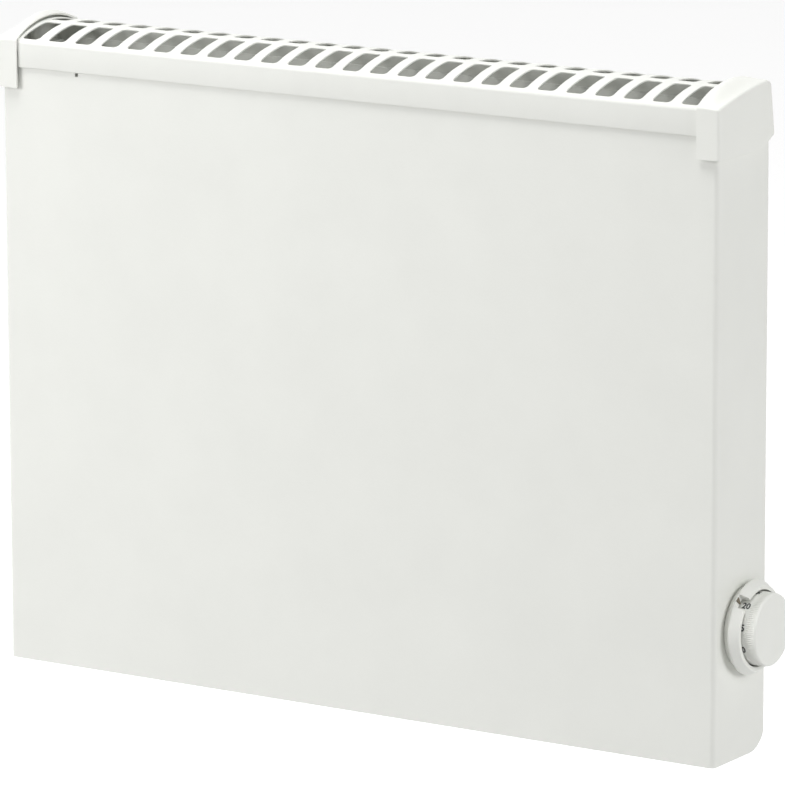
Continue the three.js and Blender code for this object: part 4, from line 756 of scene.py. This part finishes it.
def inset_path(path, distance):
    """An open path moved towards its right-hand side, which is the cap's inside."""
    ahead = np.gradient(path, axis=0)
    ahead /= np.linalg.norm(ahead, axis=1)[:, None]
    return path + distance * np.stack((ahead[:, 1], -ahead[:, 0]), 1)


def cap_underside(tip, front, n=16):
    """Lower edge of the side, level in front and swept up to the rear tip."""
    start = CAP_REAR - CAP_SWEEP
    ys = along(tip[0], start, n)[1:]
    points = [(y, CAP_BOTTOM + (tip[1] - CAP_BOTTOM) * ((y - start) / (tip[0] - start)) ** 1.5)
              for y in ys]
    return points + [(y, CAP_BOTTOM) for y in along(start, front[0], 8)[1:-1]]


def eased(t):
    return t * t * (3 - 2 * t)


def cap_skin():
    over, outer = cap_over_grille(CAP_PROUD[1]), cap_at_side()
    flat = GRILLE_HALF + 2 * FIT
    r = CAP_EDGE
    stations = []
    for t in along(0, 1, 4):
        proud = CAP_PROUD[0] + (CAP_PROUD[1] - CAP_PROUD[0]) * math.sin(t * HALF_TURN / 2)
        stations.append((CAP_IN + t * (flat - CAP_IN), cap_over_grille(proud)))
    for t in along(0, 1, 8)[1:]:
        stations.append((flat + t * (CAP_OUT - r - flat), over + eased(t) * (outer - over)))
    for a in along(0, HALF_TURN / 2, 7)[1:]:
        stations.append((CAP_OUT - r + r * math.sin(a), inset_path(outer, r * (1 - math.cos(a)))))
    n = len(outer)
    points = [(x, y, z) for x, path in stations for y, z in path]
    faces = [(s * n + k, s * n + k + 1, (s + 1) * n + k + 1, (s + 1) * n + k)
             for s in range(len(stations) - 1) for k in range(n - 1)]
    edge = stations[-1][1]
    under = cap_underside(edge[-1], edge[0])
    rim = list(range((len(stations) - 1) * n, len(stations) * n))
    below = list(range(len(points), len(points) + len(under)))
    points += [(CAP_OUT, y, z) for y, z in under]
    faces.append(rim + below)
    return points, faces


def end_cap(side):
    label = "right" if side > 0 else "left"
    points, faces = cap_skin()
    points = [(side * x, y, z) for x, y, z in points]
    if side < 0:
        faces = [tuple(reversed(face)) for face in faces]
    cap = mesh_piece(f"end_cap_{label}_fine", points, faces, 50)
    point_outwards(cap, (side * (CAP_IN + CAP_OUT) / 2, ARCH_Y, CAP_BOTTOM))
    shell = cap.modifiers.new("wall", "SOLIDIFY")
    shell.thickness = CAP_WALL * MM
    shell.offset = -1
    shell.use_even_offset = False
    soften(cap, 0.3, 2, 55)
    show(cap, BODY, "white_moulding", [f"end_cap_{label}"])
    return cap_boss(label, side * (HALF - CAP_BOSS_INSET))


def cap_boss(label, x):
    """The round boss under the crown that the cap's screw goes into."""
    top = arch_z(ARCH_RADIUS, CAP_BOSS_Y) - CAP_BOSS_DROP
    foot, deep = HEIGHT + FIT, HEIGHT + CAP_BOSS_DEPTH
    profile = [(foot, CAP_BOSS_BORE), (foot, CAP_BOSS_RADIUS), (top, CAP_BOSS_RADIUS),
               (top, 0), (deep, 0), (deep, CAP_BOSS_BORE)]
    points, faces = lathe_x(profile, 32)
    upright = [(x + z, CAP_BOSS_Y + y, height) for height, y, z in points]
    boss = mesh_piece(f"cap_boss_{label}", upright, drop_slivers(faces, points))
    return show(boss, BODY, "white_moulding")


def point_outwards(obj, inside):
    """Turns an open skin over if most of it faces the given inner point."""
    centre = Vector(placed(inside))
    facing = sum(f.area * f.normal.dot(f.center - centre) for f in obj.data.polygons)
    if facing < 0:
        obj.data.flip_normals()


# ---------------------------------------------------------------- turned pieces
def lathe_x(profile, steps, x0=0.0, y0=0.0, z0=0.0, wave=None):
    """Closed profile of (x, radius) turned round an axis along x; wave(x, r, angle) may
    change the radius."""
    points, faces = [], []
    n = len(profile)
    for s in range(steps):
        a = 2 * HALF_TURN * s / steps
        for x, r in profile:
            q = wave(x, r, a) if wave else r
            points.append((x0 + x, y0 - q * math.cos(a), z0 + q * math.sin(a)))
    for s, t in cyclic(steps):
        for k, m in cyclic(n):
            if profile[k][1] == 0 and profile[m][1] == 0:
                continue
            faces.append((s * n + k, s * n + m, t * n + m, t * n + k))
    return points, faces


def drop_slivers(faces, points):
    """Faces without the repeated corners that lie on the axis."""
    kept = []
    for face in faces:
        corners = []
        for i in face:
            p = points[i]
            if all(math.dist(p, points[j]) > 1e-7 for j in corners):
                corners.append(i)
        if len(corners) > 2:
            kept.append(tuple(corners))
    return kept


def boolean_cut(obj, cutter):
    tool = obj.modifiers.new("cut", "BOOLEAN")
    tool.operation = "DIFFERENCE"
    tool.solver = "EXACT"
    tool.object = cutter
    bpy.context.view_layer.update()
    graph = bpy.context.evaluated_depsgraph_get()
    cut = bpy.data.meshes.new_from_object(obj.evaluated_get(graph))
    obj.modifiers.clear()
    obj.data = cut
    bpy.data.objects.remove(cutter)


def thermostat_bezel():
    """Collar round the dial, widest near its foot, with a window cut in its rim."""
    rim, floor = COLLAR_REACH, FIT + COLLAR_FLOOR
    corners = [(FIT, COLLAR_HOLE), (FIT, COLLAR_FOOT), (floor, COLLAR_FOOT + COLLAR_FLARE),
               (COLLAR_WAIST, COLLAR_RADIUS + COLLAR_SWELL), (rim, COLLAR_RIM),
               (rim, COLLAR_BORE), (floor, COLLAR_BORE), (floor, COLLAR_HOLE)]
    rounds = {2: 1.4, 3: 1.4, 4: 0.9, 5: 0.35}
    profile = [tuple(p) for p in fillet_path(corners, rounds, 5)]
    points, faces = lathe_x(profile, 180, HALF, KNOB_Y, KNOB_Z)
    bezel = mesh_piece("thermostat_bezel_fine", points, faces)
    boolean_cut(bezel, window_cutter())
    settle(bezel, 35)
    soften(bezel, 0.22, 2, 42)
    return show(bezel, BODY, "white_moulding", ["thermostat_bezel"])


WINDOW_ANGLE = 46.2
WINDOW_HALF = 4.0
WINDOW_FLOOR = 5.2
WINDOW_CORNER = 1.2


def turned_about_knob(points, angle):
    """Points given with the forward direction as -y, turned up round the knob's axis."""
    c, s = math.cos(math.radians(angle)), math.sin(math.radians(angle))
    return [(HALF + x, KNOB_Y + y * c + z * s, KNOB_Z - y * s + z * c) for x, y, z in points]


def window_cutter():
    """A block with a rounded floor that opens the collar's rim."""
    low, high = COLLAR_REACH - WINDOW_FLOOR, COLLAR_REACH + 2
    outline = [(-WINDOW_HALF, high), (-WINDOW_HALF, low), (WINDOW_HALF, low),
               (WINDOW_HALF, high)]
    section = fillet_path(outline, {1: WINDOW_CORNER, 2: WINDOW_CORNER}, 5)
    n = len(section)
    front, back = -COLLAR_RADIUS - 2, -COLLAR_BORE + 0.9
    points = [(x, y, z) for y in (front, back) for z, x in section]
    faces = [tuple(range(n)), tuple(range(2 * n - 1, n - 1, -1))]
    faces += [(i, j, n + j, n + i) for i, j in cyclic(n)]
    return mesh_piece("window_cutter", turned_about_knob(points, WINDOW_ANGLE), faces)


def pointer_mark():
    """A small wedge on the window's floor that points at the dial."""
    floor = COLLAR_REACH - WINDOW_FLOOR
    outer, inner = -COLLAR_RADIUS + 0.9, -COLLAR_BORE + 0.1
    points = [(floor + h, y, z) for h in (-0.3, 0.7)
              for y, z in ((outer, -1.3), (outer, 1.3), (inner, 0.35), (inner, -0.35))]
    faces = [(0, 1, 2, 3), (7, 6, 5, 4)] + [(i, j, 4 + j, 4 + i) for i, j in cyclic(4)]
    mark = mesh_piece("thermostat_pointer", turned_about_knob(points, POINTER_ANGLE), faces)
    soften(mark, 0.15, 2, 30)
    return show(mark, BODY, "white_moulding", material="pointer_tan")


RIBS = 110
RIB_DEPTH = 0.42
RIB_START = 10.9
EDGE_RADIUS = 1.6
KNOB_FOOT = 2.9
KNOB_WALL = 3.0


def knob_wave(x, r, angle):
    """Fine straight ribs that start above the skirt and fade out over the rounded edge."""
    if r < KNOB_RADIUS - EDGE_RADIUS or x < RIB_START:
        return r
    rise = min(1.0, (x - RIB_START) / 0.5)
    fade = min(1.0, max(0.0, (KNOB_REACH - 0.8 - x) / 1.2))
    groove = (0.5 - 0.5 * math.cos(RIBS * angle)) ** 0.7
    return r - RIB_DEPTH * rise * fade * groove


def thermostat_knob():
    edge = KNOB_REACH - EDGE_RADIUS
    inner = KNOB_RADIUS - KNOB_WALL
    deep = KNOB_REACH - KNOB_WALL
    profile = [(KNOB_FOOT, inner), (KNOB_FOOT, KNOB_RADIUS - 0.3),
               (KNOB_FOOT + 0.3, KNOB_RADIUS), (8, KNOB_RADIUS), (RIB_START, KNOB_RADIUS)]
    profile += [(x, KNOB_RADIUS) for x in along(RIB_START, edge, 4)[1:]]
    for a in along(0, HALF_TURN / 2, 14)[1:]:
        profile.append((edge + EDGE_RADIUS * math.sin(a),
                        KNOB_RADIUS - EDGE_RADIUS * (1 - math.cos(a))))
    profile += [(KNOB_REACH, r) for r in (14, 9, 4, 0)]
    profile += [(deep, 0), (deep, inner - 0.6), (deep - 0.6, inner)]
    points, faces = lathe_x(profile, RIBS * 8, HALF, KNOB_Y, KNOB_Z, knob_wave)
    knob = mesh_piece("thermostat_knob_fine", points, drop_slivers(faces, points), 40)
    return show(knob, "knob_set", "white_moulding", ["thermostat_knob"])


DIGIT_SIZE = 5.2
DIGIT_START = 6.4
DIGIT_NARROW = 0.96
DIGIT_LIFT = 0.05
DIGIT_DEPTH = 0.08
DIGIT_BOLD = 0.12
DIAL_STEP = 36.0
DIAL_NUMBERS = (0, 5, 10, 15, 20, 25, 30)
DIAL_NUMBER_AT_POINTER = 20


def flat_number(text):
    """Vertices and faces of a plain number, in millimetres, from its own left end."""
    curve = bpy.data.curves.new(f"number_{text}", "FONT")
    curve.body = text
    curve.size = DIGIT_SIZE
    curve.extrude = DIGIT_DEPTH
    curve.offset = DIGIT_BOLD
    curve.resolution_u = 4
    obj = bpy.data.objects.new(f"number_{text}", curve)
    bpy.context.scene.collection.objects.link(obj)
    bpy.context.view_layer.update()
    mesh = bpy.data.meshes.new_from_object(obj.evaluated_get(
        bpy.context.evaluated_depsgraph_get()))
    bpy.data.objects.remove(obj)
    bm = bmesh.new()
    bm.from_mesh(mesh)
    bmesh.ops.triangulate(bm, faces=bm.faces)
    for _ in range(2):
        long = [e for e in bm.edges if e.calc_length() > 0.7]
        bmesh.ops.subdivide_edges(bm, edges=long, cuts=1)
        bmesh.ops.triangulate(bm, faces=bm.faces)
    points = [tuple(v.co) for v in bm.verts]
    faces = [tuple(v.index for v in f.verts) for f in bm.faces]
    bm.free()
    return points, faces


def dial_number(value):
    """A number printed on the dial's skirt, read along the knob's axis."""
    points, faces = flat_number(str(value))
    centre = math.radians(POINTER_ANGLE + (DIAL_NUMBER_AT_POINTER - value) / 5 * DIAL_STEP)
    middle = DIGIT_SIZE * 0.35
    wrapped = []
    for x, y, z in points:
        a = centre + (y - middle) / KNOB_RADIUS
        r = KNOB_RADIUS + DIGIT_LIFT + z
        wrapped.append((HALF + DIGIT_START + x * DIGIT_NARROW,
                        KNOB_Y - r * math.cos(a), KNOB_Z + r * math.sin(a)))
    number = mesh_piece(f"dial_number_{value}", wrapped, faces, 60)
    return show(number, "knob_set", "white_moulding", material="dial_ink")


# ---------------------------------------------------------------- springs
COIL_RADIUS = 3.4
WIRE_RADIUS = 0.45
COIL_TURNS = 5
COIL_STEPS = 36
WIRE_SIDES = 12


def catch_spring(label):
    """An unbroken round-wire coil filling the box of its catch spring's node."""
    node = f"catch_spring_{label}"
    low, high = box_mm(node)
    centre = (low + high) / 2
    z0, z1 = low[2] + WIRE_RADIUS, high[2] - WIRE_RADIUS
    total = COIL_TURNS * COIL_STEPS
    points = []
    for i in range(total + 1):
        a = 2 * HALF_TURN * i / COIL_STEPS
        for j in range(WIRE_SIDES):
            b = 2 * HALF_TURN * j / WIRE_SIDES
            r = COIL_RADIUS + WIRE_RADIUS * math.cos(b)
            points.append((centre[0] + r * math.cos(a), centre[1] + r * math.sin(a),
                           z0 + (z1 - z0) * i / total + WIRE_RADIUS * math.sin(b)))
    faces = [(i * WIRE_SIDES + j, i * WIRE_SIDES + k, (i + 1) * WIRE_SIDES + k,
              (i + 1) * WIRE_SIDES + j) for i in range(total) for j, k in cyclic(WIRE_SIDES)]
    faces += [tuple(range(WIRE_SIDES)),
              tuple(range(total * WIRE_SIDES, (total + 1) * WIRE_SIDES))]
    coil = mesh_piece(f"{node}_wire", points, faces, 50)
    show(coil, BODY, "spring_steel", [node])
    joint = next(j for j in frame["joints"] if j["child"] == f"{label}_catch")
    travel = max(abs(v) for v in joint["range_m"]) / MM
    tuple(placed((*centre[:2], low[2])))
    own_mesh(coil)
    return coil


# ---------------------------------------------------------------- screws
HEAD_RADIUS = 3.0
HEAD_HEIGHT = 2.0
SHANK_RADIUS = 1.4
THREAD_PITCH = 1.1


def screw_mesh(length):
    """A pan-head cross-recess screw, its head seated at the origin, its shank along +x."""
    dome = [(-HEAD_HEIGHT * math.sin(t), HEAD_RADIUS * math.cos(t) ** 0.55)
            for t in along(0, HALF_TURN / 2, 9)]
    profile = [(0, SHANK_RADIUS), (0, HEAD_RADIUS - 0.15), (-0.25, HEAD_RADIUS)]
    profile += [(x, r) for x, r in dome if x < -0.3 and r > 0.05] + [(-HEAD_HEIGHT, 0)]
    thread = [(length, 0.0), (length - 0.9, SHANK_RADIUS * 0.7)]
    for i in range(max(2, int((length - 1.2) / THREAD_PITCH))):
        x = length - 1.0 - i * THREAD_PITCH
        thread += [(x, SHANK_RADIUS), (x - THREAD_PITCH / 2, SHANK_RADIUS * 0.74)]
    points, faces = lathe_x(profile + thread[:-1], 28)
    blank = local_piece("screw_blank", points, drop_slivers(faces, points))
    for quarter in range(2):
        boolean_cut(blank, recess_arm(quarter * HALF_TURN / 2))
    settle(blank, 40)
    made = blank.data
    bpy.data.objects.remove(blank)
    return made


def recess_arm(angle):
    """One tapered arm of the cross that the driver goes into."""
    c, s = math.cos(angle), math.sin(angle)
    points = []
    for x, reach, half in ((-HEAD_HEIGHT - 0.5, 1.7, 0.36), (-HEAD_HEIGHT + 1.3, 0.9, 0.22)):
        for u, v in ((-reach, -half), (reach, -half), (reach, half), (-reach, half)):
            points.append((x, u * c - v * s, u * s + v * c))
    faces = [(0, 1, 2, 3), (7, 6, 5, 4)] + [(i, j, 4 + j, 4 + i) for i, j in cyclic(4)]
    return local_piece("recess_arm", points, faces)


def local_piece(name, points, faces):
    """A closed mesh round its own origin, from points in millimetres."""
    mesh = bpy.data.meshes.new(name)
    mesh.from_pydata((np.array(points) * MM).tolist(), [], faces)
    obj = bpy.data.objects.new(name, mesh)
    bpy.context.scene.collection.objects.link(obj)
    settle(obj, 45)
    return obj


SCREW_AXES = {"under": (0, 0, 1), "cap": (0, 0, 1), "bezel": (1, 0, 0)}
SCREW_MESHES = {}


def fine_screw(node):
    """A turned screw with its recess, seated where the plain one of the frame seats."""
    axis = np.array(SCREW_AXES.get(node.split("_")[0], (0, -1, 0)), float)
    low, high = box_mm(node)
    total = float(abs((high - low) @ axis))
    head_end = (low + high) / 2 - axis * total / 2
    length = round(total - HEAD_HEIGHT, 3)
    if length not in SCREW_MESHES:
        SCREW_MESHES[length] = screw_mesh(length)
    screw = bpy.data.objects.new(f"{node}_fine", SCREW_MESHES[length].copy())
    bpy.context.scene.collection.objects.link(screw)
    turn = Vector((1, 0, 0)).rotation_difference(Vector(axis)).to_matrix().to_4x4()
    seat = Vector(placed(head_end + axis * HEAD_HEIGHT))
    screw.matrix_world = Matrix.Translation(seat) @ turn
    return show(screw, BODY, "screw_steel", [node])


# ---------------------------------------------------------------- assembly
make_camera()
make_world()
make_floor()
make_lights()

top_grille()
for cap_side in (-1, 1):
    end_cap(cap_side)
thermostat_bezel()
pointer_mark()
thermostat_knob()
for number in DIAL_NUMBERS:
    dial_number(number)
for label in ("left", "right"):
    catch_spring(label)
for node_name in frame["nodes"]:
    if "_screw_" in node_name:
        fine_screw(node_name)

FINE_EDGES = {"casing": 0.25, "back_panel": 0.2, "wall_bracket": 0.25, "air_duct": 0.15,
              "catch_left": 0.35, "catch_right": 0.35, "cable_grommet": 0.3,
              "thermostat_body": 0.4, "terminal_block": 0.4}
for node_name, node_object in frame["nodes"].items():
    if not node_object.hide_render:
        finish_node(node_name, FINE_EDGES.get(node_name, 0.12))

bpy.context.scene.view_settings.view_transform = "Standard"
